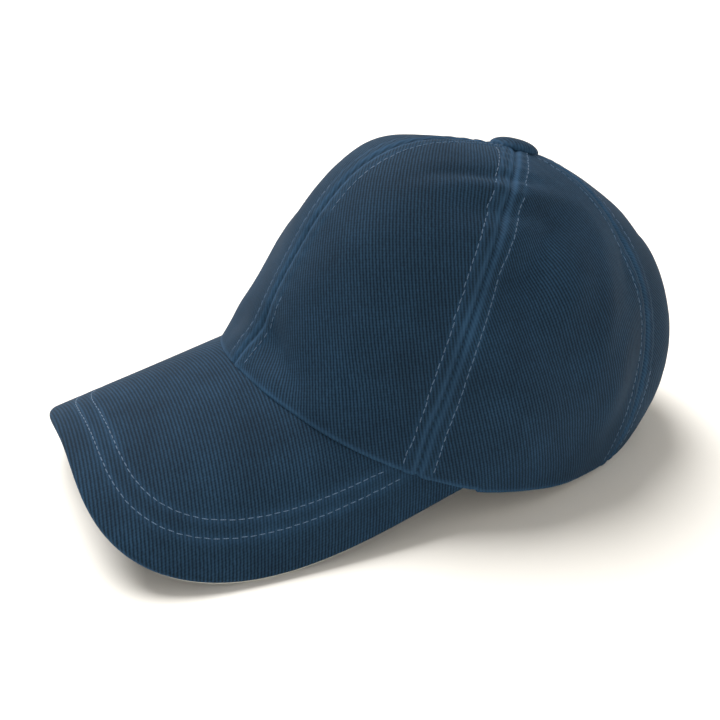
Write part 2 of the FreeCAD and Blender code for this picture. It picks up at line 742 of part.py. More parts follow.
low_tilt, high_tilt = 0.0, math.radians(45)
for _ in range(40):
    tilt = (low_tilt + high_tilt) / 2
    if lowest(crown_rows, tilt) > lowest(brim_rows, tilt):
        low_tilt = tilt
    else:
        high_tilt = tilt
rest_turn = FreeCAD.Rotation(Vector(1, 0, 0), -math.degrees(tilt))
print("leans back %.2f degrees" % math.degrees(tilt))

box = FreeCAD.BoundBox()
for item in subparts.values():
    box.add(item.Shape.transformed(rest_turn.toMatrix()).optimalBoundingBox(False))
rest = FreeCAD.Placement(Vector(0, -(box.YMin + box.YMax) / 2, -box.ZMin), rest_turn)

for name, item in subparts.items():
    item.Label = name
    if item.TypeId != "Part::Mirroring":              # a mirrored piece follows its source
        item.Placement = rest.multiply(item.Placement)
doc.recompute()

strap_axis = rest.multVec(Vector(0, axis_y, mid_height))
pin_axis = rest.multVec(on_strap.multVec(Vector(pin[0], pin[1], 0)))
upright = rest.Rotation.multVec(Vector(0, 0, 1))

# ---------------------------------------------------------------- checks and files

faults = [item.Name for item in doc.Objects if "Invalid" in item.State or "Error" in item.State]
for name, item in subparts.items():
    shape = item.Shape
    if shape.isNull() or not shape.isValid() or not shape.Solids:
        faults.append(name)
if faults:
    raise RuntimeError("failed pieces: " + ", ".join(faults))

os.makedirs("parts", exist_ok=True)
for name, item in subparts.items():
    item.Shape.exportStep("parts/%s.step" % name)
    print("%-22s solids %d  volume %9.1f mm3" % (name, len(item.Shape.Solids), item.Shape.Volume))
print("strap axis", strap_axis, "lever axis", pin_axis, "direction", upright)
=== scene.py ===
# %% [markdown]
# # A six-panel baseball cap
#
# The crown of such a cap is six twill panels, joined by felled seams that meet under a covered
# button. A stiff brim is sewn to the front, and a strap with a small lever buckle closes the
# opening at the back. The engineering model gives each piece its place. This lesson gives the
# pieces their cloth, folds, stitches and finishes.

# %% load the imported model
import json
import math

import bpy
import numpy as np
from mathutils import Matrix, Vector
from mathutils.bvhtree import BVHTree


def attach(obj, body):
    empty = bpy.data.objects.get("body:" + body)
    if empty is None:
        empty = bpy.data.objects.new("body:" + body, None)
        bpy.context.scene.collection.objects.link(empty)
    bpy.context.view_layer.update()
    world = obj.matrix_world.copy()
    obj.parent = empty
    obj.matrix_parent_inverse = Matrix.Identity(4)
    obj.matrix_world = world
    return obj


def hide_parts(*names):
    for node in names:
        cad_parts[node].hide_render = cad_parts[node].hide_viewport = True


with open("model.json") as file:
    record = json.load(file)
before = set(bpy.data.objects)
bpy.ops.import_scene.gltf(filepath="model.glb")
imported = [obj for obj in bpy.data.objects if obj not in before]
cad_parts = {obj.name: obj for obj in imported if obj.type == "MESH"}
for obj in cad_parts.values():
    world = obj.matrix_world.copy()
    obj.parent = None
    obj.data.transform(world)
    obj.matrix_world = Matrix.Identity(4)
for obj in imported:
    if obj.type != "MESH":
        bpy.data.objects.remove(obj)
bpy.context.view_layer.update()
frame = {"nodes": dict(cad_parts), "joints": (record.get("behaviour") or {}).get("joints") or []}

# %% [markdown]
# ## The sewing frame
#
# A cap is cut and sewn about an upright axis, but it lies leaning back. All the cloth here is
# worked out in the sewing frame, in millimetres: X to the wearer's left, Y to the back, Z up the
# crown, with zero height at the crown's base. The strap's joint turns about the crown's own
# upright direction, so that joint tells how far the cap leans and where it stands.

# %% sewing frame
STRAP_AXIS = np.array([0.0, 46.015, 23.0])      # strap's hinge in the sewing frame

strap_joint = next(joint for joint in frame["joints"] if joint["name"] == "strap_adjust")
down = strap_joint["axis"]
LEAN = math.atan2(-down[1], -down[2])
TURN = np.array([
    [1.0, 0.0, 0.0],
    [0.0, math.cos(LEAN), math.sin(LEAN)],
    [0.0, -math.sin(LEAN), math.cos(LEAN)],
])
SHIFT = np.array(strap_joint["pos_m"]) * 1000 - TURN @ STRAP_AXIS


def to_scene(points):
    """Sewing frame in millimetres to the model's frame in metres."""
    return (np.asarray(points) @ TURN.T + SHIFT) * 0.001


print("leans back %.2f degrees" % math.degrees(LEAN))

# %% [markdown]
# ## The crown's form
#
# In plan the crown is two half ellipses, a short one in front and a longer one behind. The
# front wall stands almost straight before it turns in, since stiff backing holds it up. The
# side and back walls curve all the way. Each wall has a power that says how late it turns in, a
# root for how tight the shoulder is, and a bulge at mid height.

# %% crown form
HALF_WIDTH = 79.5
FRONT_REACH = 104.0
BACK_REACH = 113.0
CROWN_HEIGHT = 114.5
APEX_SETBACK = 11.7
WALLS = {
    "front": (3.18, 2.8, -0.113),
    "side": (1.88, 2.14, 0.055),
    "back": (1.6, 2.1, 0.12),
}


def wall_share(share, wall):
    """A wall's reach at a share of the height, as a share of its reach at the base."""
    power, root, bulge = WALLS[wall]
    above = np.clip(share, 0.0, 1.0)
    reach = (1 - above ** power) ** (1 / root) + bulge * np.sin(np.pi * above)
    return np.where(share < 0, 1 + np.pi * bulge * share, reach)


def crown(azimuth, share, depth=0.0):
    """Points of the crown. Azimuth 0 is the front centre and grows to the wearer's left."""
    azimuth, share = np.broadcast_arrays(azimuth, share)
    side = (HALF_WIDTH - depth) * wall_share(share, "side")
    front = (FRONT_REACH - depth) * wall_share(share, "front")
    back = (BACK_REACH - depth) * wall_share(share, "back")
    reach = np.where(np.cos(azimuth) > 0, front, back)
    radius = 1 / np.sqrt((np.sin(azimuth) / side) ** 2 + (np.cos(azimuth) / reach) ** 2)
    return np.stack([
        radius * np.sin(azimuth),
        APEX_SETBACK * share - radius * np.cos(azimuth),
        (CROWN_HEIGHT - depth) * share,
    ], axis=-1)


# %% [markdown]
# ## Where the crown ends
#
# Over the brim the crown stops on the brim's arched top face. Elsewhere its edge is a shallow
# arc, lowest at the sides. At the back a half round is cut out above the strap.

# %% lower edge and opening
BRIM_SLOPE = math.radians(26.2)
BRIM_ROOT = -33.0           # line between the brim's ends
BRIM_SEAT = 10.5
ARCH_HALF_WIDTH = 80.0
ARCH_RISE = 74.0
EDGE_DROP = 5.0
BACK_RISE = 13.0
OPENING_RADIUS = 46.0
OPENING_HEIGHT = 14.0


def brim_top(x, y):
    """Height of the brim's top face, an arch that slopes down to the front."""
    arch = np.sqrt(np.clip(1 - (x / ARCH_HALF_WIDTH) ** 2, 0.0, 1.0))
    return BRIM_SEAT + math.tan(BRIM_SLOPE) * (y + FRONT_REACH) - ARCH_RISE * (1 - arch)


def sag(y, reach, rise):
    radius = (reach ** 2 + rise ** 2) / (2 * rise)
    return radius - EDGE_DROP - np.sqrt(radius ** 2 - y ** 2)


def edge_height(x, y):
    """Height of the crown's lower edge, without the opening."""
    arc = np.where(y > 0, sag(y, BACK_REACH, BACK_RISE + EDGE_DROP), sag(y, FRONT_REACH, EDGE_DROP))
    return np.where(y < BRIM_ROOT + 5, np.maximum(arc, brim_top(x, y)), arc)


def edge_share(azimuth):
    """Share of the crown's height at which a wall meets the lower edge."""
    share = np.zeros_like(azimuth)
    for _ in range(60):
        point = crown(azimuth, share)
        share = 0.5 * share + 0.5 * edge_height(point[..., 0], point[..., 1]) / CROWN_HEIGHT
    return share


def azimuth_at(x, share):
    """Azimuth in the back of the crown at which a wall has this distance from the middle."""
    fan = np.linspace(math.pi, math.pi / 2, 400)
    found = [np.interp(one_x, crown(fan, one_share)[:, 0], fan) for one_x, one_share in zip(x, share)]
    return np.array(found)


test = edge_share(np.radians([0.0, 52.8, 90.0, 180.0])) * CROWN_HEIGHT
print("edge height at the front, side seam, side and back:", np.round(test, 1))

# %% [markdown]
# ## Soft folds
#
# Twill without backing can't hold a dome, so a cap that has been worn shows broad shallow dents,
# a crease over the sweatband and short tucks where two seams meet. Each one here is a smooth
# hollow or ridge: its place as azimuth and share of the height, how far it goes in or out, its
# half length and half width, and the turn of its long side from the horizontal.

# %% folds
HOLLOW_DEPTH = 1.35         # makes the hollows this much deeper
FOLDS = (
    # azimuth, share, out, half length, half width, turn
    (6, 0.245, -3.0, 9, 6.0, -28),         # hollow above the sweatband at the front
    (16, 0.185, -2.4, 11, 4.5, -30),
    (24, 0.13, 0.8, 24, 5.0, -12),         # band that the sweatband holds out
    (36, 0.225, -2.6, 17, 9.0, -20),       # broad hollow low on the front panel
    (47, 0.165, -1.8, 12, 6.5, -12),
    (42, 0.46, -1.7, 15, 11.0, 20),        # and a fainter one above it
    (29, 0.32, 1.5, 17, 6.0, 80),          # ridge between the two
    (12, 0.50, 0.9, 20, 8.0, 62),
    (40, 0.915, -1.0, 16, 2.6, 12),        # creases below the button
    (45, 0.885, 0.8, 18, 3.0, 8),
    (53, 0.83, -1.7, 13, 4.2, 8),
    (62, 0.86, 0.7, 9, 3.5, 35),
    (72, 0.76, -1.8, 12, 4.5, 52),         # slanted hollow high on the side panel
    (64, 0.66, -1.4, 9, 5.5, 20),
    (76, 0.50, -2.4, 22, 11.0, -38),       # broad hollow in the side panel
    (62, 0.32, -1.5, 12, 16.0, 0),
    (84, 0.63, 1.2, 16, 6.0, 60),
    (100, 0.60, 1.3, 20, 5.0, 82),
    (108, 0.38, 1.0, 20, 6.0, 80),
    (100, 0.16, -1.0, 16, 6.0, -10),
    (120, 0.30, -1.2, 20, 7.0, 75),
    (118, 0.72, -0.9, 16, 5.0, 70),
    (146, 0.70, 1.6, 22, 12.0, 70),        # left back panel puffs out
    (140, 0.42, 1.5, 22, 9.0, 85),
    (-28, 0.90, 3.0, 18, 11.0, -8),        # right front panel puffs up beside the button
    (-20, 0.55, -1.3, 22, 10.0, -60),
    (-38, 0.30, -2.0, 18, 9.0, 15),
    (-14, 0.20, -1.8, 11, 5.0, 24),
    (-48, 0.84, -1.4, 13, 4.0, -10),
    (-74, 0.56, -2.2, 20, 11.0, 35),
    (-66, 0.30, -1.4, 14, 9.0, 10),
    (-98, 0.66, 1.2, 18, 6.0, -75),
    (-104, 0.34, -1.3, 18, 7.0, -70),
    (-140, 0.62, 1.3, 22, 10.0, -78),
    (165, 0.82, -1.2, 12, 4.0, 10),
    (-160, 0.86, -1.0, 11, 3.5, -15),
)
FOLD_REACH = 26.0      # a fold leaves the wall on the far side of the crown alone


def normals(grid):
    """Outward unit normals of a grid of points, columns by rows."""
    across = np.gradient(grid, axis=0)
    up = np.gradient(grid, axis=1)
    facing = np.cross(across, up)
    return facing / np.maximum(np.linalg.norm(facing, axis=-1, keepdims=True), 1e-9)


def local_axes(azimuth, share):
    """A point of the crown, with its directions leftwards, upwards and outwards."""
    step = 1e-3
    centre = crown(azimuth, share)
    left = crown(azimuth + step, share) - centre
    up = crown(azimuth, share + step) - centre
    left = left / np.linalg.norm(left)
    out = np.cross(left, up)
    out = out / np.linalg.norm(out)
    return centre, left, np.cross(out, left), out


def relief(points):
    """How far the folds move each point of the crown outwards."""
    total = np.zeros(points.shape[:-1])
    for azimuth, share, height, half_length, half_width, turn in FOLDS:
        centre, left, up, out = local_axes(math.radians(azimuth), np.float64(share))
        lay = math.radians(turn)
        offset = points - centre
        along = offset @ (left * math.cos(lay) + up * math.sin(lay))
        beside = offset @ (up * math.cos(lay) - left * math.sin(lay))
        through = offset @ out
        spread = (along / half_length) ** 2 + (beside / half_width) ** 2
        deeper = HOLLOW_DEPTH if height < 0 else 1.0
        total += deeper * height * np.exp(-0.5 * (spread + (through / FOLD_REACH) ** 2))
    return total


def ripple(points, size, seed):
    """Gentle uneven waves of about this size, between -1 and 1."""
    dice = np.random.default_rng(seed)
    total = np.zeros(points.shape[:-1])
    waves = 7
    for _ in range(waves):
        direction = dice.normal(size=3)
        direction /= np.linalg.norm(direction)
        length = size * dice.uniform(0.7, 1.6)
        total += np.sin(points @ direction * (2 * np.pi / length) + dice.uniform(0, 2 * np.pi))
    return total / waves * 1.6


print(len(FOLDS), "folds")

# %% [markdown]
# ## From points to closed pieces
#
# Every piece of cloth is a closed shell. A grid of points makes its outer face and a second grid
# its inner face, and a rim joins the two. Each vertex also keeps its place on the flat cloth,
# for the weave, and how worn it is, since dye rubs off where cloth stands proud.

# %% mesh helpers
CLOTH_UV = 0.01            # cloth coordinates are in units of 100 mm


def make_piece(name, points, faces, cloth=None, wear=None, sharp=60.0):
    mesh = bpy.data.meshes.new(name)
    mesh.from_pydata(np.asarray(points).tolist(), [], [list(map(int, face)) for face in faces])
    if cloth is not None:
        layer = mesh.uv_layers.new(name="cloth")
        corners = np.empty(len(mesh.loops), dtype=np.int32)
        mesh.loops.foreach_get("vertex_index", corners)
        layer.data.foreach_set("uv", (np.asarray(cloth)[corners] * CLOTH_UV).ravel())
    worn = mesh.attributes.new("wear", "FLOAT", "POINT")
    values = np.zeros(len(points)) if wear is None else np.asarray(wear)
    worn.data.foreach_set("value", values.astype(np.float32))
    mesh.shade_smooth()
    mesh.set_sharp_from_angle(angle=math.radians(sharp))
    mesh.update()
    piece = bpy.data.objects.new(name, mesh)
    bpy.context.scene.collection.objects.link(piece)
    return piece


def quads(columns, rows, start=0, closed=False, flip=False):
    """Faces of a grid whose vertices are stored column by column."""
    count = columns if closed else columns - 1
    column = np.arange(count)[:, None]
    row = np.arange(rows - 1)[None, :]
    after = (column + 1) % columns
    corners = np.stack(np.broadcast_arrays(
        column * rows + row, after * rows + row, after * rows + row + 1, column * rows + row + 1,
    ), axis=-1).reshape(-1, 4) + start
    return corners[:, ::-1] if flip else corners


def rim(loop_outer, loop_inner):
    """Faces between two loops of vertices."""
    after = np.roll(np.arange(len(loop_outer)), -1)
    return np.stack([loop_outer[after], loop_outer, loop_inner, loop_inner[after]], axis=-1)


def border(columns, rows, start):
    """Vertices round a grid's border, against the clock as seen from outside."""
    index = np.arange(columns * rows).reshape(columns, rows) + start
    return np.concatenate([index[:-1, 0], index[-1, :-1], index[:0:-1, -1], index[0, :0:-1]])


def shell_piece(name, outer, inner, cloth, wear=None, closed=False):
    """A closed piece between two grids. A closed one goes all the way round."""
    columns, rows = outer.shape[:2]
    count = columns * rows
    points = np.concatenate([outer.reshape(-1, 3), inner.reshape(-1, 3)])
    faces = [quads(columns, rows, 0, closed), quads(columns, rows, count, closed, True)]
    if closed:
        index = np.arange(count).reshape(columns, rows)
        faces.append(rim(index[:, 0], index[:, 0] + count))
        faces.append(rim(index[::-1, -1], index[::-1, -1] + count))
    else:
        faces.append(rim(border(columns, rows, 0), border(columns, rows, count)))
    flat = np.concatenate([cloth.reshape(-1, 2)] * 2)
    worn = None if wear is None else np.concatenate([wear.ravel()] * 2)
    return make_piece(name, to_scene(points), np.concatenate(faces), flat, worn)


def fine_ends(width, step, fine):
    """Distances across a width, closer together at both ends."""
    ends = np.array([d for d in fine if d < width / 3])
    count = max(2, round((width - 2 * ends[-1]) / step) + 1)
    middle = np.linspace(ends[-1], width - ends[-1], count)
    return np.concatenate([ends[:-1], middle, (width - ends[:-1])[::-1]])


SEAM_STEPS = (0.0, 0.3, 0.7, 1.2, 1.8, 2.6, 3.5, 4.4, 5.2, 5.9, 6.6, 7.5)
EDGE_STEPS = np.array([0.0, 0.12, 0.3, 0.6, 1.0, 1.5, 2.2, 3.1])


def lengths(grid, axis):
    """Distance along a grid's columns or rows from their first point."""
    steps = np.linalg.norm(np.diff(grid, axis=axis), axis=-1)
    run = np.cumsum(steps, axis=axis)
    start = np.zeros_like(np.take(run, [0], axis=axis))
    return np.concatenate([start, run], axis=axis)


def climb(azimuths, low, high, step=1.1):
    """Grid of crown points, each column climbing from its low to its high share."""
    fine = 1 - (1 - np.linspace(0, 1, 500)) ** 3
    share = low[:, None] + (high - low)[:, None] * fine[None, :]
    dense = crown(azimuths[:, None], share)
    run = lengths(dense, axis=1)
    longest = run[:, -1].max()
    rest = np.linspace(0, 1, max(3, round(longest / step)))[1:]
    grid = []
    for column, distance in zip(dense, run):
        near = EDGE_STEPS * min(1.0, distance[-1] / 40)
        places = np.concatenate([near, near[-1] + (distance[-1] - near[-1]) * rest])
        grid.append(np.stack([np.interp(places, distance, column[:, k]) for k in range(3)], axis=-1))
    return np.array(grid)


print("helpers ready")

# %% [markdown]
# ## Six panels
#
# A felled seam has the raw edges folded under on both sides and sewn down 6 mm from the joint.
# So the cloth dips into the joint, stands a little proud as far as the row of stitches, dips
# again at the stitches and puckers between them. Away from the seams a panel swells a little.

# %% panel surface
CLOTH = 1.0
SEAM_ROW = 6.0            # stitch row's distance from the joint
SIDE_SEAM = 52.8
REAR_SEAM = 125.7
BUTTON_HIDES = 4.0        # panels end this far from the crown's axis, under the button
OPENING_ROWS = (2.5, 8.0) # stitch rows' distances from the edge of the opening


def top_share(azimuths, radius):
    """Share of the height at which the crown is this far from its axis."""
    share = 1 - np.linspace(1, 0, 900)[:-1] ** 4
    found = []
    for azimuth in azimuths:
        points = crown(azimuth, share)
        reach = np.hypot(points[:, 0], points[:, 1] - APEX_SETBACK * share)
        found.append(np.interp(-radius, -reach[200:], share[200:]))
    return np.array(found)


def bell(distance, width):
    return np.exp(-(distance / width) ** 2)


def seam_relief(seam, along, points, seed):
    """Joint, proud band, stitch line and puckers beside a seam."""
    band = 0.3 / (1 + np.exp((seam - SEAM_ROW - 0.2) / 0.35))
    joint = -0.75 * bell(seam, 0.6)
    stitched = -0.22 * bell(seam - SEAM_ROW, 0.7)
    uneven = ripple(points, 34.0, seed)
    pucker = np.sin(2 * np.pi * along / 6.4 + 2.2 * uneven)
    pucker = pucker * bell(seam - 3.4, 3.6) * (0.13 + 0.12 * np.clip(uneven, -1, 1))
    return band + joint + stitched + pucker


def edge_roll(distance, radius=0.9):
    """How far a folded edge turns inwards near its end."""
    inside = np.clip(radius - distance, 0.0, radius)
    return -(radius - np.sqrt(radius ** 2 - inside ** 2))


def opening_distance(points):
    """Distance in the back view from the edge of the opening."""
    above = np.maximum(points[..., 2] - OPENING_HEIGHT, 0.0)
    return np.abs(np.hypot(points[..., 0], above) - OPENING_RADIUS)


def hump(part):
    """Half a sine wave from 0 to 1, never below zero, so that a power of it is always real."""
    return np.maximum(np.sin(np.pi * np.clip(part, 0, 1)), 0.0)


SHARED_SEED = 5             # the broad waves run on from panel to panel
BROAD_WAVE = (0.22, 30.0)   # height and size of a panel's broad waves
FINE_WAVE = (0.05, 7.0)     # and of its fine ones
JOINT_FADE = 2.0            # mm over which a panel's own fine waves fade out at its joint


def crown_panel(name, azimuths, low, seed, swell=1.3, behind=False):
    """One panel of the crown between two seams."""
    grid = climb(azimuths, low, top_share(azimuths, BUTTON_HIDES))
    facing = normals(grid)
    along = lengths(grid, axis=1)
    down_from_top = along[:, -1:] - along
    across = lengths(grid, axis=0)
    width = across[-1:]
    seam = np.minimum(across, width - across)
    share_up = along / along[:, -1:]
    swelling = swell * (width / 95) * hump(across / np.maximum(width, 1e-6)) ** 0.8
    swelling = swelling * hump(share_up * 1.15 + 0.05) ** 0.6
    broad = BROAD_WAVE[0] * ripple(grid, BROAD_WAVE[1], SHARED_SEED)
    body = grid + facing * (relief(grid) + swelling + broad)[..., None]
    from_edge = along
    puckers = seam_relief(seam, down_from_top, grid, seed)
    puckers = puckers + FINE_WAVE[0] * ripple(grid, FINE_WAVE[1], seed + 1)
    at_joint = seam_relief(0 * seam, down_from_top, grid, SHARED_SEED)
    blend = np.clip(seam / JOINT_FADE, 0, 1)
    fine = blend * puckers + (1 - blend) * at_joint
    if behind:
        from_opening = opening_distance(grid)
        from_edge = np.minimum(along, from_opening)
        for row in OPENING_ROWS:
            fine = fine - 0.2 * bell(from_opening - row, 0.7)
    outer = body + facing * (fine + edge_roll(from_edge))[..., None]
    inner = body - facing * CLOTH
    worn = 0.9 * bell(seam - 1.6, 1.1) + 0.45 * bell(seam - SEAM_ROW + 0.5, 0.9)
    worn = np.maximum(worn, 0.8 * bell(from_edge - 0.8, 1.0))
    cloth = np.stack([across - width / 2, -down_from_top], axis=-1)
    return shell_piece(name, outer, inner, cloth, np.clip(worn, 0, 1))


def side_azimuths(start, end):
    """Azimuths of a panel's columns, in radians, finer beside its seams."""
    span = math.radians(end - start)
    reference = 90.0
    return math.radians(start) + fine_ends(span * reference, 1.15, SEAM_STEPS) / reference


def back_columns():
    """Azimuths and lower ends of the left back panel's columns, with the opening."""
    turn = np.radians(np.linspace(90, 0, 46))
    x = OPENING_RADIUS * np.sin(turn)
    high = (OPENING_HEIGHT + OPENING_RADIUS * np.cos(turn)) / CROWN_HEIGHT
    over = azimuth_at(x, high)
    beside = side_azimuths(REAR_SEAM, math.degrees(over[0]) + 0.6)
    beside = beside[beside < over[0] - 0.004]
    azimuths = np.concatenate([beside, over])
    low = np.concatenate([edge_share(beside), high])
    return azimuths, low


front = side_azimuths(0.0, SIDE_SEAM)
flank = side_azimuths(SIDE_SEAM, REAR_SEAM)
rear, rear_low = back_columns()
PANELS = (
    ("front", front, edge_share(front), 11),
    ("side", flank, edge_share(flank), 16),
    ("back", rear, rear_low, 21),
)
RIGHT_SEEDS = 50            # added to a panel's seed on the wearer's right

panels = {}
for side, name in ((1, "left"), (-1, "right")):
    for place, azimuths, low, seed in PANELS:
        key = place + "_panel_" + name
        panels[key] = crown_panel(
            "crown_" + place + "_" + name, side * azimuths[::side], low[::side],
            seed=seed + (RIGHT_SEEDS if side < 0 else 0), behind=place == "back")
        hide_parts(key)
        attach(panels[key], "cap")
        print(key, len(panels[key].data.polygons), "faces")

# %% [markdown]
# ## What lies inside the crown
#
# Cotton tape covers the raw edges of every seam, stiff open-weave backing fills the two front
# panels between the tapes, and another tape binds the opening. A folded sweatband runs round
# the lower edge and ends at the opening. They follow the same folds as the panels.

# %% linings
TAPE_DEPTH = 1.1
TAPE = 0.6
TAPE_WIDTH = 12.0
TAPE_TOP_RADIUS = 14.0
BAND_DEPTH = 1.9
BAND = 1.2
BAND_HEIGHT = 32.0
OPENING_TAPE_WIDTH = 9.0


def lining(name, azimuth, share, depth, thickness, seed, waves=0.0):
    """A layer inside the crown from grids of azimuths and shares."""
    outside = crown(azimuth, share)
    facing = normals(outside)
    move = relief(outside) - waves * (1 + ripple(outside, 24.0, seed)) / 2
    outer = crown(azimuth, share, depth) + facing * move[..., None]
    along = lengths(outer, axis=1)
    across = lengths(outer, axis=0)
    edge = np.minimum(np.minimum(along, along[:, -1:] - along), across)
    edge = np.minimum(edge, across[-1:] - across)
    inner = outer - facing * (thickness + 0.5 * edge_roll(edge, thickness))[..., None]
    cloth = np.stack([across, along], axis=-1)
    return shell_piece(name, outer, inner, cloth, 0.6 * bell(edge, 0.8))


def seam_tape(name, angle, low):
    """Tape along one seam, from a low share up to near the button."""
    seam = math.radians(angle)
    offset = np.linspace(-TAPE_WIDTH / 2, TAPE_WIDTH / 2, 13)
    high = top_share(np.array([seam]), TAPE_TOP_RADIUS)[0]
    rise = 1 - (1 - np.linspace(0, 1, 150)) ** 1.7
    share = low + (high - low) * rise[None, :]
    middle = crown(seam, share)
    radius = np.hypot(middle[..., 0], middle[..., 1] - APEX_SETBACK * share)
    azimuth = seam + offset[:, None] / radius
    return lining(name, azimuth, np.broadcast_to(share, azimuth.shape), TAPE_DEPTH, TAPE, 3)


def opening_edge(turns, margin):
    """Azimuth and share of points on a half round about the opening, 0 at its top."""
    radius = OPENING_RADIUS + margin
    x = radius * np.sin(turns)
    share = (OPENING_HEIGHT + radius * np.cos(turns)) / CROWN_HEIGHT
    return azimuth_at(np.abs(x), share), share, np.sign(x)


linings = {}
for side, name in ((1, "left"), (-1, "right")):
    for place, angle in (("side", SIDE_SEAM), ("rear", REAR_SEAM)):
        key = place + "_seam_tape_" + name
        low = edge_share(np.array([math.radians(angle)]))[0] + 0.004
        linings[key] = seam_tape("lining_" + key, side * angle, low)
linings["front_centre_tape"] = seam_tape(
    "lining_front_centre_tape", 0.0, edge_share(np.zeros(1))[0] + 0.004)
above_opening = (OPENING_HEIGHT + OPENING_RADIUS + OPENING_TAPE_WIDTH + 0.2) / CROWN_HEIGHT
linings["back_centre_tape"] = seam_tape("lining_back_centre_tape", 180.0, above_opening)

margin_angle = math.degrees((TAPE_WIDTH / 2 + 0.2) / 95)
for side, name in ((1, "left"), (-1, "right")):
    fan = np.radians(np.linspace(margin_angle, SIDE_SEAM - margin_angle, 60))[:: side]
    low = edge_share(fan) + 0.003
    high = top_share(fan, TAPE_TOP_RADIUS + 1)
    rise = 1 - (1 - np.linspace(0, 1, 110)) ** 1.7
    share = low[:, None] + (high - low)[:, None] * rise
    azimuth = np.broadcast_to(side * fan[:, None], share.shape)
    key = "front_backing_" + name
    linings[key] = lining("lining_" + key, azimuth, share, TAPE_DEPTH, TAPE, 5)

turns = np.radians(np.linspace(-89, 89, 160))
width = np.linspace(0.15, OPENING_TAPE_WIDTH, 9)
rings = [opening_edge(turns, margin) for margin in width]
azimuth = np.stack([ring[2] * ring[0] for ring in rings], axis=1)
azimuth = np.where(azimuth < 0, azimuth + 2 * np.pi, azimuth)
share = np.stack([ring[1] for ring in rings], axis=1)
linings["opening_tape"] = lining(
    "lining_opening_tape", azimuth[::-1], share[::-1], TAPE_DEPTH, TAPE, 7)


def sweatband_grid():
    """Azimuths and shares of the sweatband, from one side of the opening to the other."""
    turn = np.radians(np.linspace(90, 50, 26))
    high_edge = (OPENING_HEIGHT + OPENING_RADIUS * np.cos(turn)) / CROWN_HEIGHT
    over = azimuth_at(OPENING_RADIUS * np.sin(turn) + 0.2, high_edge)
    fan = np.linspace(0.0, over[0] - 0.01, 170)
    half = np.concatenate([fan, over])
    low = np.concatenate([edge_share(fan), high_edge])
    base = crown(half, low)
    top = edge_height(base[:, 0], base[:, 1]) + BAND_HEIGHT
    top = np.maximum(top / CROWN_HEIGHT, low + 0.004)
    low = low + 0.004
    rise = np.linspace(0, 1, 34)
    share = low[:, None] + (top - low)[:, None] * rise
    azimuth = np.broadcast_to(half[:, None], share.shape)
    left_first = np.concatenate([-azimuth[:0:-1], azimuth])
    return left_first, np.concatenate([share[:0:-1], share])


band_azimuth, band_share = sweatband_grid()
linings["sweatband"] = lining(
    "lining_sweatband", band_azimuth, band_share, BAND_DEPTH, BAND, 9, waves=0.25)
for key, piece in linings.items():
    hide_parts(key)
    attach(piece, "cap")
print(len(linings), "lining pieces")

# %% [markdown]
# ## The brim
#
# A brim is a stiff board in a twill cover. Top and under cloth are sewn together round the
# edge and turned, so each rolls over half of the edge. Two rows of stitches hold the cloth to
# the board. The row nearer the edge is a little fuller at the sides.

# %% brim
BRIM_HALF_WIDTH = 75.0
BRIM_REACH = 127.0
BRIM_SQUARENESS = 3.6
BRIM_THICKNESS = 4.1
BRIM_CLOTH = 0.75
BRIM_EDGE = 2.2             # cloth starts to roll over this far from the edge
BRIM_END_ANGLE = 66.3
ROOT_DEPTH = 1.8            # brim's cloth runs in under the panels
BRIM_ROWS = ((67.6, 117.5), (64.3, 112.0))      # half width and reach of each row


def brim_curve(turn, half_width=BRIM_HALF_WIDTH, reach=BRIM_REACH):
    """Plan of a squared half ellipse about the line between the brim's ends."""
    power = 2 / BRIM_SQUARENESS
    x = half_width * np.sign(np.cos(turn)) * np.abs(np.cos(turn)) ** power
    return x, BRIM_ROOT - reach * np.sin(turn) ** power


def even_turns(count):
    """Turns that step evenly along the brim's outline."""
    turn = np.linspace(0, math.pi, 6000)
    x, y = brim_curve(turn)
    run = lengths(np.stack([x, y, brim_top(x, y)], axis=-1), axis=0)
    return np.interp(np.linspace(0, run[-1], count), run, turn)


def brim_root(azimuth):
    """Where the brim's top face meets the crown's wall."""
    share = np.zeros_like(azimuth)
    for _ in range(60):
        point = crown(azimuth, share, ROOT_DEPTH)
        share = 0.5 * share + 0.5 * brim_top(point[:, 0], point[:, 1]) / CROWN_HEIGHT
    return point[:, 0], point[:, 1]


def brim_normal(x, y):
    step = 0.01
    slope_x = (brim_top(x + step, y) - brim_top(x - step, y)) / (2 * step)
    slope_y = (brim_top(x, y + step) - brim_top(x, y - step)) / (2 * step)
    facing = np.stack([-slope_x, -slope_y, np.ones_like(slope_x)], axis=-1)
    return facing / np.linalg.norm(facing, axis=-1, keepdims=True)


def row_distance(x, y, half_width, reach):
    """Rough distance from a row of stitches, measured along the brim."""
    power = BRIM_SQUARENESS
    forward = np.clip((BRIM_ROOT - y) / reach, 1e-6, None)
    across = np.clip(np.abs(x) / half_width, 1e-6, None)
    level = (across ** power + forward ** power) ** (1 / power)
    pull_x = (across / level) ** (power - 1) / half_width
    pull_y = (forward / level) ** (power - 1) / reach
    return (level - 1) / np.hypot(pull_x, pull_y)


def cloth_across(x):
    """Distance over the arch from its middle."""
    fan = np.linspace(-ARCH_HALF_WIDTH, ARCH_HALF_WIDTH, 2001)
    run = lengths(np.stack([fan, 0 * fan, brim_top(fan, 0 * fan)], axis=-1), axis=0)
    return np.interp(x, fan, run) - run[-1] / 2


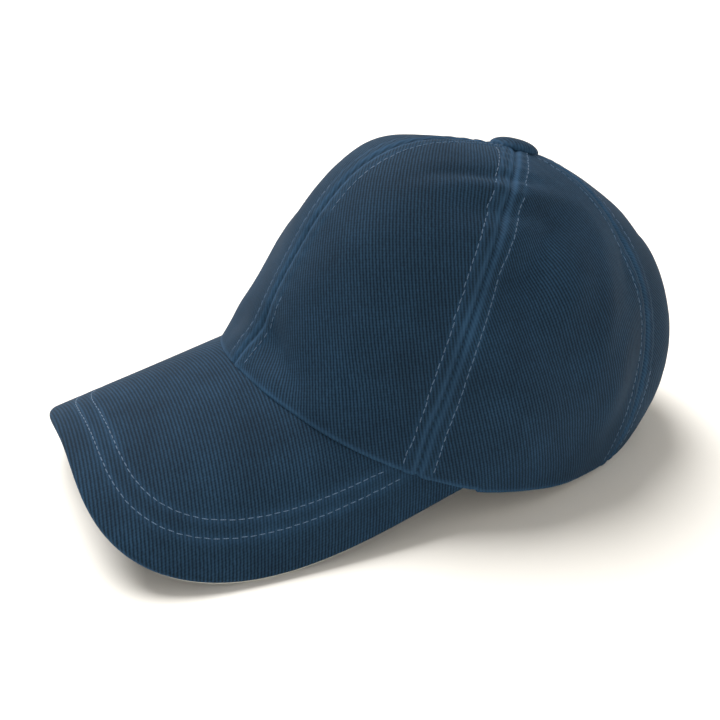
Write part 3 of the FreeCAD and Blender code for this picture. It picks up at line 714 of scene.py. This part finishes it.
def brim_cover(name, top_side):
    """Top or under cloth of the brim, with its half of the rolled edge."""
    turns = even_turns(330)
    x, y = brim_curve(turns)
    root_x, root_y = brim_root(np.radians(BRIM_END_ANGLE) * (1 - turns / (math.pi / 2)))
    run = np.hypot(x - root_x, y - root_y)
    lay = np.linspace(0, math.pi / 2, 9)[:-1]
    inset = BRIM_EDGE * (1 - np.sin(lay) ** (2 / 2.5))
    drop = BRIM_THICKNESS / 2 * (1 - (1 - (1 - inset / BRIM_EDGE) ** 2.5) ** (1 / 2.5))
    inset = np.append(inset, 0.0)
    drop = np.append(drop, BRIM_THICKNESS / 2)
    flat = np.linspace(0, 1, 56)[:-1]
    columns = []
    for one_x, one_y, from_x, from_y, length in zip(x, y, root_x, root_y, run):
        scale = min(1.0, length / 12)
        near = inset * scale
        places = np.concatenate([length - (length - near[0]) * flat, near])
        depth = np.concatenate([0 * flat, drop * min(1.0, 0.3 + scale)])
        part = 1 - places / max(length, 1e-6)
        px = from_x + (one_x - from_x) * part
        py = from_y + (one_y - from_y) * part
        columns.append(np.stack([px, py, depth], axis=-1))
    grid = np.array(columns)
    px, py, depth = grid[..., 0], grid[..., 1], grid[..., 2]
    if not top_side:
        depth = BRIM_THICKNESS - depth
    facing = brim_normal(px, py)
    ground = np.stack([px, py, brim_top(px, py)], axis=-1)
    surface = ground - facing * depth[..., None]
    outward = facing if top_side else -facing
    sewn = sum(bell(row_distance(px, py, *row), 0.75) for row in BRIM_ROWS)
    uneven = 0.10 * ripple(surface, 26.0, 21 if top_side else 22)
    surface = surface + outward * (uneven - 0.24 * sewn)[..., None]
    out = normals(surface)
    out = out if (out * outward).sum() > 0 else -out
    inner = surface - out * BRIM_CLOTH
    cloth = np.stack([cloth_across(px), (py - BRIM_ROOT) / math.cos(BRIM_SLOPE)], axis=-1)
    edge = BRIM_THICKNESS / 2 - np.abs(depth - BRIM_THICKNESS / 2)
    wear = 0.9 * np.clip(edge / 1.2, 0, 1) ** 2 * bell(edge - 1.4, 0.9)
    wear = wear + 0.35 * sum(bell(row_distance(px, py, *row), 1.3) for row in BRIM_ROWS)
    if top_side:
        surface, inner, cloth, wear = surface[::-1], inner[::-1], cloth[::-1], wear[::-1]
    return shell_piece(name, surface, inner, cloth, np.clip(wear, 0, 1))


brim_over = brim_cover("brim_top_twill", True)
brim_below = brim_cover("brim_under_twill", False)
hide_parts("brim_top_cloth")
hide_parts("brim_under_cloth")
for piece in (brim_over, brim_below):
    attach(piece, "cap")
print("brim", len(brim_over.data.polygons), "faces a side")

# %% [markdown]
# ## The covered button
#
# A disc of the same twill is gathered over a domed metal shell. The gathers show as shallow
# tucks near the rim, and the rim sinks a little into the crown.

# %% button
BUTTON_RADIUS = 10.5
BUTTON_HEIGHT = 4.1
BUTTON_BASE = CROWN_HEIGHT * math.sin(math.radians(86.5)) + 0.1

around = np.linspace(0, 2 * math.pi, 97)[:-1]
lay = np.pi / 2 * (1 - np.linspace(0, 1, 34))
tucked_under = BUTTON_RADIUS - np.array([1.3, 0.5, 0.1])
reach = np.concatenate([tucked_under, BUTTON_RADIUS * np.sin(lay) ** 0.86])
height = np.concatenate([[-0.9, -0.8, -0.45], BUTTON_HEIGHT * np.cos(lay) ** 1.05])
reach[-1] = 0.02            # a pinhole at the top keeps the faces there whole
bearing = around[:, None] * np.ones_like(reach)[None, :]
tuck = 0.16 * np.sin(17 * bearing + 1.3 * np.sin(3 * bearing)) * (reach / BUTTON_RADIUS) ** 5
lean_in = 0.35 * np.sin(bearing + 0.6) * (reach / BUTTON_RADIUS)
dome = np.stack([
    (reach + tuck) * np.sin(bearing),
    APEX_SETBACK - (reach + tuck) * np.cos(bearing),
    BUTTON_BASE + height + 0.5 * tuck + lean_in,
], axis=-1)
hollow = dome.copy()
hollow[..., 0] *= 0.93
hollow[..., 1] = APEX_SETBACK + (hollow[..., 1] - APEX_SETBACK) * 0.93
hollow[..., 2] -= 0.55 * np.clip(height + 0.9, 0, 1)
flat = np.stack([reach * np.sin(bearing), -reach * np.cos(bearing)], axis=-1)
rubbed_rim = np.broadcast_to(0.7 * bell(reach - BUTTON_RADIUS, 1.2), bearing.shape)
button = shell_piece("covered_button", dome, hollow, flat, rubbed_rim, closed=True)
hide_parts("button_cover")
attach(button, "cap")
print("button", len(button.data.polygons), "faces")

# %% [markdown]
# ## Strap and buckle tab
#
# The strap is twill folded to 16 mm and sewn near both edges. It slides through the buckle
# along its own arc. The tab is a shorter piece that loops round the buckle's bar and is sewn
# down on itself.

# %% strap and tab
STRAP_RADIUS = 64.98
STRAP = 1.2
STRAP_WIDTH = 16.0
STRAP_LOW = 15.0
STRAP_START = -66.0
STRAP_END = 50.0
TAB = 0.5
TAB_END = 52.0
BUCKLE_ANGLE = 20.0
BAR_REACH = 11.5
BAR_RISE = 1.39
BAR_LOOP = 1.5


def tube(name, sections, cloth, wear):
    """A closed solid through sections, each a loop with the same number of points."""
    count, around_it = sections.shape[:2]
    index = np.arange(count * around_it).reshape(count, around_it)
    after = np.roll(index, -1, axis=1)
    side = np.stack([index[:-1], after[:-1], after[1:], index[1:]], axis=-1).reshape(-1, 4)
    faces = [list(face) for face in side]
    faces.append(list(index[0][::-1]))
    faces.append(list(index[-1]))
    return make_piece(
        name, to_scene(sections.reshape(-1, 3)), faces, cloth.reshape(-1, 2), wear.ravel())


def flat_section(width, thickness, row_inset=2.0):
    """Loop of (height, out) offsets round a folded strip, with a dip at each stitch row."""
    half = width / 2
    across = half * np.sin(np.linspace(-1, 1, 41) * math.pi / 2)
    full = (1 - np.abs(across / half) ** 10) ** 0.5
    sewn = bell(np.abs(across) - (half - row_inset), 0.7)
    out = thickness / 2 * full - 0.12 * sewn * (full > 0.5)
    upper = np.stack([across, out], axis=-1)
    lower = np.stack([across[-2:0:-1], -out[-2:0:-1]], axis=-1)
    return np.concatenate([upper, lower])


def strip(name, path, outwards, width, thickness, low):
    """A flat strip, standing on edge, along a path in plan."""
    section = flat_section(width, thickness)
    middle = np.array([0, 0, low + width / 2])
    base = np.concatenate([path, np.zeros((len(path), 1))], axis=1) + middle
    out = np.concatenate([outwards, np.zeros((len(path), 1))], axis=1)
    points = base[:, None, :] + out[:, None, :] * section[None, :, 1:2]
    points = points + np.array([0, 0, 1]) * section[None, :, 0:1]
    run = lengths(base, axis=0)
    cloth = np.stack(np.broadcast_arrays(run[:, None], section[None, :, 0]), axis=-1)
    edge = width / 2 - np.abs(section[:, 0])
    wear = np.broadcast_to(0.8 * bell(edge, 0.7), (len(path), len(section)))
    return tube(name, points, cloth, wear)


def ring_path(start, end, radius, count):
    angle = np.radians(np.linspace(start, end, count))
    out = np.stack([np.sin(angle), np.cos(angle)], axis=-1)
    return STRAP_AXIS[:2] + radius * out, out


path, out = ring_path(STRAP_START, STRAP_END, STRAP_RADIUS - STRAP / 2, 120)
strap = strip("adjusting_strap", path, out, STRAP_WIDTH, STRAP, STRAP_LOW)
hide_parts("strap")
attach(strap, "strap")

bar_turn = math.radians(BUCKLE_ANGLE) + math.atan2(BAR_REACH, STRAP_RADIUS + BAR_RISE)
bar_radius = math.hypot(BAR_REACH, STRAP_RADIUS + BAR_RISE)
bar_out = np.array([math.sin(bar_turn), math.cos(bar_turn)])
bar_along = np.array([math.cos(bar_turn), -math.sin(bar_turn)])
bar = STRAP_AXIS[:2] + bar_radius * bar_out
inner_run, _ = ring_path(TAB_END, math.degrees(bar_turn) + 2.6, STRAP_RADIUS + 0.55, 24)
loop = np.array([
    bar + BAR_LOOP * (math.cos(turn) * bar_along + math.sin(turn) * bar_out)
    for turn in np.radians(np.linspace(-62, -300, 30))])
outer_run, _ = ring_path(math.degrees(bar_turn) + 3.2, math.degrees(bar_turn) + 13, STRAP_RADIUS + 1.1, 12)
raw = np.concatenate([inner_run, loop, outer_run])
run = lengths(np.concatenate([raw, np.zeros((len(raw), 1))], axis=1), axis=0)
even = np.linspace(0, run[-1], 150)
tab_path = np.stack([np.interp(even, run, raw[:, k]) for k in range(2)], axis=-1)
for _ in range(6):
    tab_path[1:-1] = 0.25 * tab_path[:-2] + 0.5 * tab_path[1:-1] + 0.25 * tab_path[2:]
heading = np.gradient(tab_path, axis=0)
heading /= np.linalg.norm(heading, axis=1, keepdims=True)
tab_out = np.stack([heading[:, 1], -heading[:, 0]], axis=-1)
tab = strip("buckle_tab_twill", tab_path, -tab_out, STRAP_WIDTH - 0.6, TAB, STRAP_LOW + 0.3)
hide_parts("buckle_tab")
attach(tab, "cap")
print("tab runs", round(float(run[-1]), 1), "mm round the bar")

# %% [markdown]
# ## Stitches
#
# Each visible row is lockstitch: short lengths of thread that lie on the cloth and dive into
# it at both ends. Every stitch is a small spindle, laid on the finished surface and turned a
# degree or two, since no row is perfect.

# %% stitches
STITCH = 2.35
STITCH_STEP = 3.05
THREAD = 0.2            # half of the thread's width


def surface_of(*pieces):
    """A search tree over the surface of some pieces."""
    points, faces = [], []
    for piece in pieces:
        start = len(points)
        points += [vertex.co.copy() for vertex in piece.data.vertices]
        faces += [[start + k for k in polygon.vertices] for polygon in piece.data.polygons]
    return BVHTree.FromPolygons(points, faces)


def spindle():
    """A unit stitch: rings round X, thin at both ends."""
    places = np.array([-1.0, -0.86, -0.5, 0.0, 0.5, 0.86, 1.0])
    girth = np.array([0.05, 0.6, 0.95, 1.0, 0.95, 0.6, 0.05])
    turn = np.arange(6) * math.pi / 3
    points = [[x, r * math.cos(t), r * math.sin(t)] for x, r in zip(places, girth) for t in turn]
    faces = []
    for ring in range(len(places) - 1):
        for k in range(6):
            after = (k + 1) % 6
            faces.append([6 * ring + k, 6 * ring + after, 6 * ring + 6 + after, 6 * ring + 6 + k])
    faces.append([5, 4, 3, 2, 1, 0])
    faces.append([6 * (len(places) - 1) + k for k in range(6)])
    return np.array(points), faces


def sew(name, rows, tree, body, seed, sink=0.06, far=0.004):
    """All stitches of some rows as one piece. A row is points in the sewing frame."""
    dice = np.random.default_rng(seed)
    unit, unit_faces = spindle()
    points, faces = [], []
    for row in rows:
        line = to_scene(row)
        run = lengths(line, axis=0)
        places = np.arange(0.4, 1000 * run[-1] - STITCH, STITCH_STEP) / 1000
        for place in places:
            ends = [place, place + STITCH / 1000]
            pair = [Vector([float(np.interp(end, run, line[:, k])) for k in range(3)]) for end in ends]
            middle = (pair[0] + pair[1]) / 2
            found, facing, _, gap = tree.find_nearest(middle)
            if found is None or gap > far:
                continue
            along = (pair[1] - pair[0]).normalized()
            along = (along - facing * along.dot(facing)).normalized()
            beside = facing.cross(along)
            along = (along + beside * float(dice.normal(0, 0.045))).normalized()
            beside = facing.cross(along)
            shape = unit * (STITCH / 2000, THREAD / 1000, 0.8 * THREAD / 1000)
            axes = np.array([along, beside, facing])
            lift = np.array(facing) * (THREAD / 2 - sink) / 1000
            sway = np.array(beside) * float(dice.normal(0, 0.05)) / 1000
            start = len(points)
            points += list(shape @ axes + np.array(found) + lift + sway)
            faces += [[start + k for k in face] for face in unit_faces]
    piece = make_piece(name, np.array(points), faces, sharp=180)
    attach(piece, body)
    print(name, len(faces) // len(unit_faces), "stitches")
    return piece


def seam_line(angle, offset, low_margin=3.0, top_radius=11.5, low=None, depth=0.0):
    """A line at a distance from one seam, up the crown."""
    seam = math.radians(angle)
    if low is None:
        low = float(edge_share(np.array([seam + offset / 95]))[0]) + low_margin / CROWN_HEIGHT
    high = top_share(np.array([seam]), top_radius)[0]
    share = low + (high - low) * (1 - (1 - np.linspace(0, 1, 300)) ** 1.7)
    middle = crown(seam, share)
    radius = np.hypot(middle[:, 0], middle[:, 1] - APEX_SETBACK * share)
    return crown(seam + offset / radius, share, depth)


def opening_line(margin, depth=0.0, reach=88):
    """A line round the opening, at a distance from its edge."""
    turns = np.radians(np.linspace(-reach, reach, 200))
    azimuth, share, sign = opening_edge(turns, margin)
    return crown(sign * azimuth, share, depth)


ABOVE_OPENING = (OPENING_HEIGHT + OPENING_RADIUS + 9.5) / CROWN_HEIGHT
crown_rows = []
for angle in (0.0, SIDE_SEAM, -SIDE_SEAM, REAR_SEAM, -REAR_SEAM):
    crown_rows += [seam_line(angle, SEAM_ROW), seam_line(angle, -SEAM_ROW)]
crown_rows += [seam_line(180.0, offset, low=ABOVE_OPENING) for offset in (SEAM_ROW, -SEAM_ROW)]
crown_rows += [opening_line(row) for row in OPENING_ROWS]
crown_tree = surface_of(*panels.values())
threads = [sew("crown_stitching", crown_rows, crown_tree, "cap", 31)]


def brim_line(half_width, reach, depth):
    """A row of stitches round the brim, from wall to wall of the crown."""
    turn = np.linspace(0.02, math.pi - 0.02, 700)
    x, y = brim_curve(turn, half_width, reach)
    wall = np.hypot(x / (HALF_WIDTH + 1.5), y / (FRONT_REACH - 1.0)) > 1.0
    x, y = x[wall], y[wall]
    point = np.stack([x, y, brim_top(x, y)], axis=-1)
    return point - brim_normal(x, y) * depth


over_rows = [brim_line(*row, 0.0) for row in BRIM_ROWS]
under_rows = [brim_line(*row, BRIM_THICKNESS) for row in BRIM_ROWS]
threads.append(sew("brim_stitching", over_rows, surface_of(brim_over), "cap", 32))
threads.append(sew("brim_under_stitching", under_rows, surface_of(brim_below), "cap", 33))

tape_rows = []
for angle in (0.0, SIDE_SEAM, -SIDE_SEAM, REAR_SEAM, -REAR_SEAM):
    tape_rows += [seam_line(angle, offset, depth=1.9, top_radius=15) for offset in (4.6, -4.6)]
tape_rows += [opening_line(margin, 1.8) for margin in (2.2, 7.6)]
tape_tree = surface_of(*[piece for key, piece in linings.items() if key != "sweatband"])
threads.append(sew("lining_stitching", tape_rows, tape_tree, "cap", 34))

band_low = crown(band_azimuth[:, 3], band_share[:, 3], BAND_DEPTH + BAND)
threads.append(sew("sweatband_stitching", [band_low], surface_of(linings["sweatband"]), "cap", 35))

strap_tree = surface_of(strap)
strap_rows = []
for edge in (-6.0, 6.0):
    for radius in (STRAP_RADIUS, STRAP_RADIUS - STRAP):
        path, _ = ring_path(STRAP_START + 1, STRAP_END - 1, radius, 120)
        rows_height = np.full((len(path), 1), STRAP_LOW + STRAP_WIDTH / 2 + edge)
        strap_rows.append(np.concatenate([path, rows_height], axis=1))
threads.append(sew("strap_stitching", strap_rows, strap_tree, "strap", 36))
tab_rows = []
for share_along in (0.18, 0.1):
    angle = math.degrees(bar_turn) + 3.2 + 60 * share_along
    path, _ = ring_path(angle, angle, STRAP_RADIUS + 1.35, 2)
    ends = np.array([[STRAP_LOW + 1.5], [STRAP_LOW + STRAP_WIDTH - 1.5]])
    tab_rows.append(np.concatenate([path, ends], axis=1))
threads.append(sew("tab_stitching", tab_rows, surface_of(tab), "cap", 37))

# %% [markdown]
# ## Materials
#
# Colours are written as they look on a screen and turned to linear light by one function. One
# small function adds a shader node with its settings and links.

# %% shader helpers
def colour(code):
    """A screen colour such as #2f4761 as linear red, green, blue and alpha."""
    parts = [int(code[k:k + 2], 16) / 255 for k in (1, 3, 5)]
    linear = [c / 12.92 if c <= 0.04045 else ((c + 0.055) / 1.055) ** 2.4 for c in parts]
    return (*linear, 1.0)


def add_node(tree, kind, inputs=None, **settings):
    """Adds a node. An input is a value, or an output of another node to link."""
    item = tree.nodes.new(kind)
    for name, value in settings.items():
        setattr(item, name, value)
    for name, value in (inputs or {}).items():
        if isinstance(value, bpy.types.NodeSocket):
            tree.links.new(value, item.inputs[name])
        else:
            item.inputs[name].default_value = value
    return item


def new_material(name):
    material = bpy.data.materials.new(name)
    material.use_nodes = True
    tree = material.node_tree
    return material, tree, tree.nodes["Principled BSDF"]


def finish_with(tree, shader, inputs):
    for name, value in inputs.items():
        if isinstance(value, bpy.types.NodeSocket):
            tree.links.new(value, shader.inputs[name])
        else:
            shader.inputs[name].default_value = value


def tone_of(value):
    return colour(value) if isinstance(value, str) else value


def mix(tree, share, first, second, blend="MIX"):
    """Mixes two colours, each a code or the output of a node."""
    return add_node(tree, "ShaderNodeMixRGB", {
        "Fac": share, "Color1": tone_of(first), "Color2": tone_of(second)},
        blend_type=blend).outputs["Color"]


def noise(tree, place, scale, detail, roughness=0.5):
    return add_node(tree, "ShaderNodeTexNoise", {
        "Vector": place, "Scale": scale, "Detail": detail, "Roughness": roughness}).outputs["Fac"]


def waves(tree, place, scale, direction, distortion, detail=2.0, detail_scale=1.0):
    return add_node(tree, "ShaderNodeTexWave", {
        "Vector": place, "Scale": scale, "Distortion": distortion, "Detail": detail,
        "Detail Scale": detail_scale}, bands_direction=direction).outputs["Fac"]


def bump(tree, height, strength, depth):
    """Turns a pattern into small relief. The depth is in metres."""
    return add_node(tree, "ShaderNodeBump", {
        "Height": height, "Strength": strength, "Distance": depth}).outputs["Normal"]


def product(tree, first, second):
    return add_node(tree, "ShaderNodeMath", {0: first, 1: second}, operation="MULTIPLY").outputs[0]


def object_place(tree):
    return add_node(tree, "ShaderNodeTexCoord").outputs["Object"]


def cloth_place(tree):
    return add_node(tree, "ShaderNodeUVMap", uv_map="cloth").outputs["UV"]


print("navy in linear light", [round(c, 4) for c in colour("#2a3f55")])

# %% [markdown]
# ## Washed twill
#
# In twill each weft thread passes over two warp threads and steps one along, which makes the
# slanting ribs. They stand about 1.3 mm apart in this drill. The shader draws the ribs as a
# fine wave across the flat cloth, painting the troughs darker as painted shade and the crests
# paler as painted highlight and wear. It crosses them with a weaker wave for single yarns, and
# mottles the dye over a few centimetres, as washing does. Worn places are paler.

# %% twill
RIB = 1.3                   # mm from rib to rib
YARN = 1.0                  # mm between the weaker lines across the ribs
WAVE_PERIOD = 2 * math.pi / 20      # length of one band of a wave at scale 1


def twill(name, dark, light, worn, rib_turn, rib=RIB, strength=0.5, roughness=0.82):
    """Twill whose ribs lean this many degrees to the left of the cloth's upward direction."""
    material, tree, shader = new_material(name)
    place = object_place(tree)
    turned = add_node(tree, "ShaderNodeMapping", {
        "Vector": cloth_place(tree), "Rotation": (0, 0, -math.radians(rib_turn))}).outputs["Vector"]
    ribs = waves(tree, turned, WAVE_PERIOD / (rib * CLOTH_UV), "X", 1.2, detail_scale=2.5)
    yarns = waves(tree, turned, WAVE_PERIOD / (YARN * CLOTH_UV), "Y", 1.0, detail=1.0)
    weave = mix(tree, 0.15, ribs, yarns)
    fluff = noise(tree, place, 900.0, 3.0, 0.7)
    mottle = noise(tree, place, 38.0, 4.0, 0.6)
    # Rib troughs are painted darker as painted shade, and crests paler as painted highlight and wear.
    weave_shade_and_tone = mix(tree, weave, dark, light)
    melange = mix(tree, 0.5, weave_shade_and_tone, fluff, "OVERLAY")
    washed = mix(tree, 0.45, melange, mottle, "OVERLAY")
    wear = add_node(tree, "ShaderNodeAttribute", attribute_name="wear").outputs["Fac"]
    rubbed = mix(tree, product(tree, wear, mottle), washed, worn)
    finish_with(tree, shader, {
        "Base Color": rubbed, "Roughness": roughness,
        "Normal": bump(tree, mix(tree, 0.35, weave, fluff), strength, 0.00025),
        "Specular IOR Level": 0.1, "Sheen Weight": 0.05, "Sheen Roughness": 0.5,
        "Sheen Tint": colour("#5f8fc0")})
    return material


# In each twill here the dark tone is painted shade in the rib troughs, and the light tone is the crests'
# painted highlight and wear.
NAVY_TROUGH_SHADE = "#0c1b27"
NAVY_CREST_LIT_AND_WORN = "#1f3950"
NAVY_WORN = "#315271"
crown_twill = twill("washed navy twill, crown", NAVY_TROUGH_SHADE, NAVY_CREST_LIT_AND_WORN, NAVY_WORN, 32)
brim_twill = twill("washed navy twill, brim", NAVY_TROUGH_SHADE, NAVY_CREST_LIT_AND_WORN, NAVY_WORN, 86)
strap_twill = twill("washed navy twill, strap", NAVY_TROUGH_SHADE, NAVY_CREST_LIT_AND_WORN, NAVY_WORN, 40)
band_twill = twill("soft navy twill, sweatband", "#1a2736", "#2a3c50", "#43566b", 45, rib=0.9, strength=0.35)
for piece in panels.values():
    piece.data.materials.append(crown_twill)
for piece in (brim_over, brim_below, button):
    piece.data.materials.append(brim_twill)
for piece in (strap, tab):
    piece.data.materials.append(strap_twill)
linings["sweatband"].data.materials.append(band_twill)

# %% [markdown]
# ## Tape, backing and thread
#
# Seam tape is plain-woven cotton, so its two yarn directions show alike. The backing is a
# coarser open weave stiffened with starch. The thread is polyester, a shade paler than the
# twill, with a slight gloss and the slanting twist of its plies.

# %% tape, backing, thread
PLY = 0.00035               # metres from ply to ply along a thread


def plain_weave(name, dark, light, yarn, roughness):
    """Cotton with equal yarns both ways, this many millimetres apart."""
    material, tree, shader = new_material(name)
    flat = cloth_place(tree)
    scale = WAVE_PERIOD / (yarn * CLOTH_UV)
    warp, weft = (waves(tree, flat, scale, direction, 0.6, detail=1.0) for direction in "XY")
    weave = product(tree, warp, weft)
    mottle = noise(tree, object_place(tree), 60.0, 4.0)
    # Darker between the yarn crossings: painted shade in the weave's hollows, mixed with the cloth's own
    # tone.
    weave_shade_and_tone = mix(tree, weave, dark, light)
    finish_with(tree, shader, {
        "Base Color": mix(tree, 0.35, weave_shade_and_tone, mottle, "OVERLAY"), "Roughness": roughness,
        "Normal": bump(tree, weave, 0.4, 0.0002), "Specular IOR Level": 0.3, "Sheen Weight": 0.15})
    return material


tape_cotton = plain_weave("navy cotton tape", "#16222f", "#2c3f53", 0.7, 0.8)
stiff_backing = plain_weave("starched backing", "#141b24", "#39485a", 1.3, 0.7)
for key, piece in linings.items():
    if "backing" in key:
        piece.data.materials.append(stiff_backing)
    elif "tape" in key:
        piece.data.materials.append(tape_cotton)


def thread_material(name, dark, light):
    material, tree, shader = new_material(name)
    place = object_place(tree)
    twist = waves(tree, place, WAVE_PERIOD / PLY, "DIAGONAL", 1.5)
    plies = mix(tree, twist, dark, light)
    uneven = mix(tree, 0.4, plies, noise(tree, place, 260.0, 2.0), "OVERLAY")
    finish_with(tree, shader, {
        "Base Color": uneven, "Roughness": 0.55, "Normal": bump(tree, twist, 0.3, 0.00005)})
    return material


sewing_thread = thread_material("navy polyester thread", "#2e4660", "#4c6985")
for piece in threads:
    piece.data.materials.append(sewing_thread)

# %% [markdown]
# ## Metal and board
#
# The buckle is die-cast and plated to look like old brass, brown and brighter in random
# patches. The button's shell and rivet are nickel-plated steel. The board in the brim is matt
# polyethylene with a faint grain. These pieces keep the engineering model's own shapes, and a
# small bevel breaks the buckle's edges as tumbling does.

# %% metal and board
def plated(name, dark, bright, roughness, scale):
    """A plated metal whose tone and gloss vary in patches."""
    material, tree, shader = new_material(name)
    place = object_place(tree)
    patch = noise(tree, place, scale, 5.0, 0.6)
    gloss = add_node(tree, "ShaderNodeMapRange", {
        "Value": patch, "To Min": roughness + 0.12, "To Max": roughness - 0.08})
    grain = noise(tree, place, 2500.0, 2.0)
    finish_with(tree, shader, {
        "Base Color": mix(tree, patch, dark, bright), "Roughness": gloss.outputs["Result"],
        "Metallic": 1.0, "Normal": bump(tree, grain, 0.15, 0.00003)})
    return material


def moulded_board(name, dark, light):
    material, tree, shader = new_material(name)
    grain = noise(tree, object_place(tree), 700.0, 3.0)
    finish_with(tree, shader, {
        "Base Color": mix(tree, grain, dark, light), "Roughness": 0.6,
        "Normal": bump(tree, grain, 0.2, 0.0001)})
    return material


antique_brass = plated("antique brass plate", "#4a3820", "#a58a55", 0.36, 420.0)
nickel = plated("nickel-plated steel", "#8b8a86", "#c4c3bf", 0.28, 300.0)
board = moulded_board("polyethylene board", "#b9b8b0", "#d3d2ca")
TUMBLED = 0.00022           # metres that tumbling takes off an edge
FINISHES = {
    "buckle_frame": antique_brass,
    "buckle_lever": antique_brass,
    "lever_pin": antique_brass,
    "button_shell": nickel,
    "button_rivet": nickel,
    "button_washer": nickel,
    "brim_board": board,
}
for key, material in FINISHES.items():
    node = frame["nodes"][key]
    node.data.materials.clear()
    node.data.materials.append(material)
for key in ("buckle_frame", "buckle_lever"):
    bevel = frame["nodes"][key].modifiers.new("tumbled edges", "BEVEL")
    bevel.width = TUMBLED
    bevel.segments = 3
    bevel.limit_method = "ANGLE"
    bevel.angle_limit = math.radians(40)
    bevel.harden_normals = True
print(len(FINISHES), "engineering pieces finished")

# %% [markdown]
# ## Floor, light and camera
#
# The cap lies on a plain pale floor that sweeps up into a backdrop far away. One broad distant
# light stands high on the wearer's right, and a dim warm surround fills the shadows. The camera
# looks down at the wearer's left side from the front, 26.5 degrees above the floor, and is
# turned a little.

# %% studio
FLOOR_RADIUS = 3.0          # metres of flat floor
SWEEP_RADIUS = 3.0          # beyond that it curves up into a pale backdrop
SWEEP_TURN = 82             # degrees that it has turned at its top
SWEEP_STEPS = 12
SIDES = 64
around = np.radians(np.arange(SIDES) * 360.0 / SIDES)
climbing = np.radians(np.linspace(0, SWEEP_TURN, SWEEP_STEPS + 1))
reach = np.concatenate([[FLOOR_RADIUS / 2], FLOOR_RADIUS + SWEEP_RADIUS * np.sin(climbing)])
height = np.concatenate([[0.0], SWEEP_RADIUS * (1 - np.cos(climbing))])
rings = np.stack([
    reach[:, None] * np.cos(around), reach[:, None] * np.sin(around),
    np.broadcast_to(height[:, None], (len(reach), SIDES))], axis=-1)
corners = [tuple(corner) for corner in rings.reshape(-1, 3).tolist()]
floor_faces = [tuple(range(SIDES))]
for ring in range(len(reach) - 1):
    this, outside = ring * SIDES, (ring + 1) * SIDES
    for step in range(SIDES):
        after = (step + 1) % SIDES
        floor_faces.append((this + step, outside + step, outside + after, this + after))
floor_mesh = bpy.data.meshes.new("floor")
floor_mesh.from_pydata(corners, [], floor_faces)
floor_mesh.polygons.foreach_set("use_smooth", [True] * len(floor_mesh.polygons))
floor = bpy.data.objects.new("floor", floor_mesh)
bpy.context.scene.collection.objects.link(floor)
floor_paint, tree, shader = new_material("pale floor")
faint = noise(tree, object_place(tree), 9.0, 2.0)
finish_with(tree, shader, {"Base Color": mix(tree, faint, "#f3f0ea", "#f7f5f1"), "Roughness": 0.75})
floor.data.materials.append(floor_paint)

SURROUND_TINT = (1.0, 0.97, 0.92, 1.0)
SURROUND_STRENGTH = 0.4
KEY_PLACE = (-0.75, -0.15, 1.1)
KEY_SPREAD = 42             # degrees
KEY_STRENGTH = 4.7
KEY_TINT = (1.0, 0.99, 0.97)

world = bpy.data.worlds.new("studio surround")
bpy.context.scene.world = world
world.use_nodes = True
surround = world.node_tree.nodes["Background"]
surround.inputs["Color"].default_value = SURROUND_TINT
surround.inputs["Strength"].default_value = SURROUND_STRENGTH


def aim(item, towards):
    """Turns a light or camera to look at a point."""
    heading = Vector(towards) - item.location
    item.rotation_euler = heading.to_track_quat("-Z", "Y").to_euler()


def distant_light(name, place, spread, strength, tint):
    """A large far light, even over the whole floor. Its spread is the softness, in degrees."""
    data = bpy.data.lights.new(name, "SUN")
    data.angle = math.radians(spread)
    data.energy = strength
    data.color = tint
    item = bpy.data.objects.new(name, data)
    bpy.context.scene.collection.objects.link(item)
    item.location = place
    aim(item, (0, 0, 0.05))
    return item


distant_light("key", KEY_PLACE, KEY_SPREAD, KEY_STRENGTH, KEY_TINT)

CAMERA_TARGET = Vector((0.0, -0.0161, 0.0354))
CAMERA_DISTANCE = 0.3277
CAMERA_AZIMUTH = math.radians(58.48)
CAMERA_HEIGHT = math.radians(26.54)
CAMERA_ROLL = math.radians(3.44)
CAMERA_LENS = 37.8

back = Vector((
    math.sin(CAMERA_AZIMUTH) * math.cos(CAMERA_HEIGHT),
    -math.cos(CAMERA_AZIMUTH) * math.cos(CAMERA_HEIGHT),
    math.sin(CAMERA_HEIGHT),
))
camera_data = bpy.data.cameras.new("camera")
camera_data.lens = CAMERA_LENS
camera_data.sensor_width = 36.0
camera_data.clip_start = 0.01
camera = bpy.data.objects.new("camera", camera_data)
bpy.context.scene.collection.objects.link(camera)
camera.matrix_world = (
    Matrix.Translation(CAMERA_TARGET + back * CAMERA_DISTANCE)
    @ back.to_track_quat("Z", "Y").to_matrix().to_4x4()
    @ Matrix.Rotation(CAMERA_ROLL, 4, "Z")
)
bpy.context.scene.camera = camera
bpy.context.scene.view_settings.view_transform = "Standard"
print("camera at", [round(c, 4) for c in camera.matrix_world.translation])
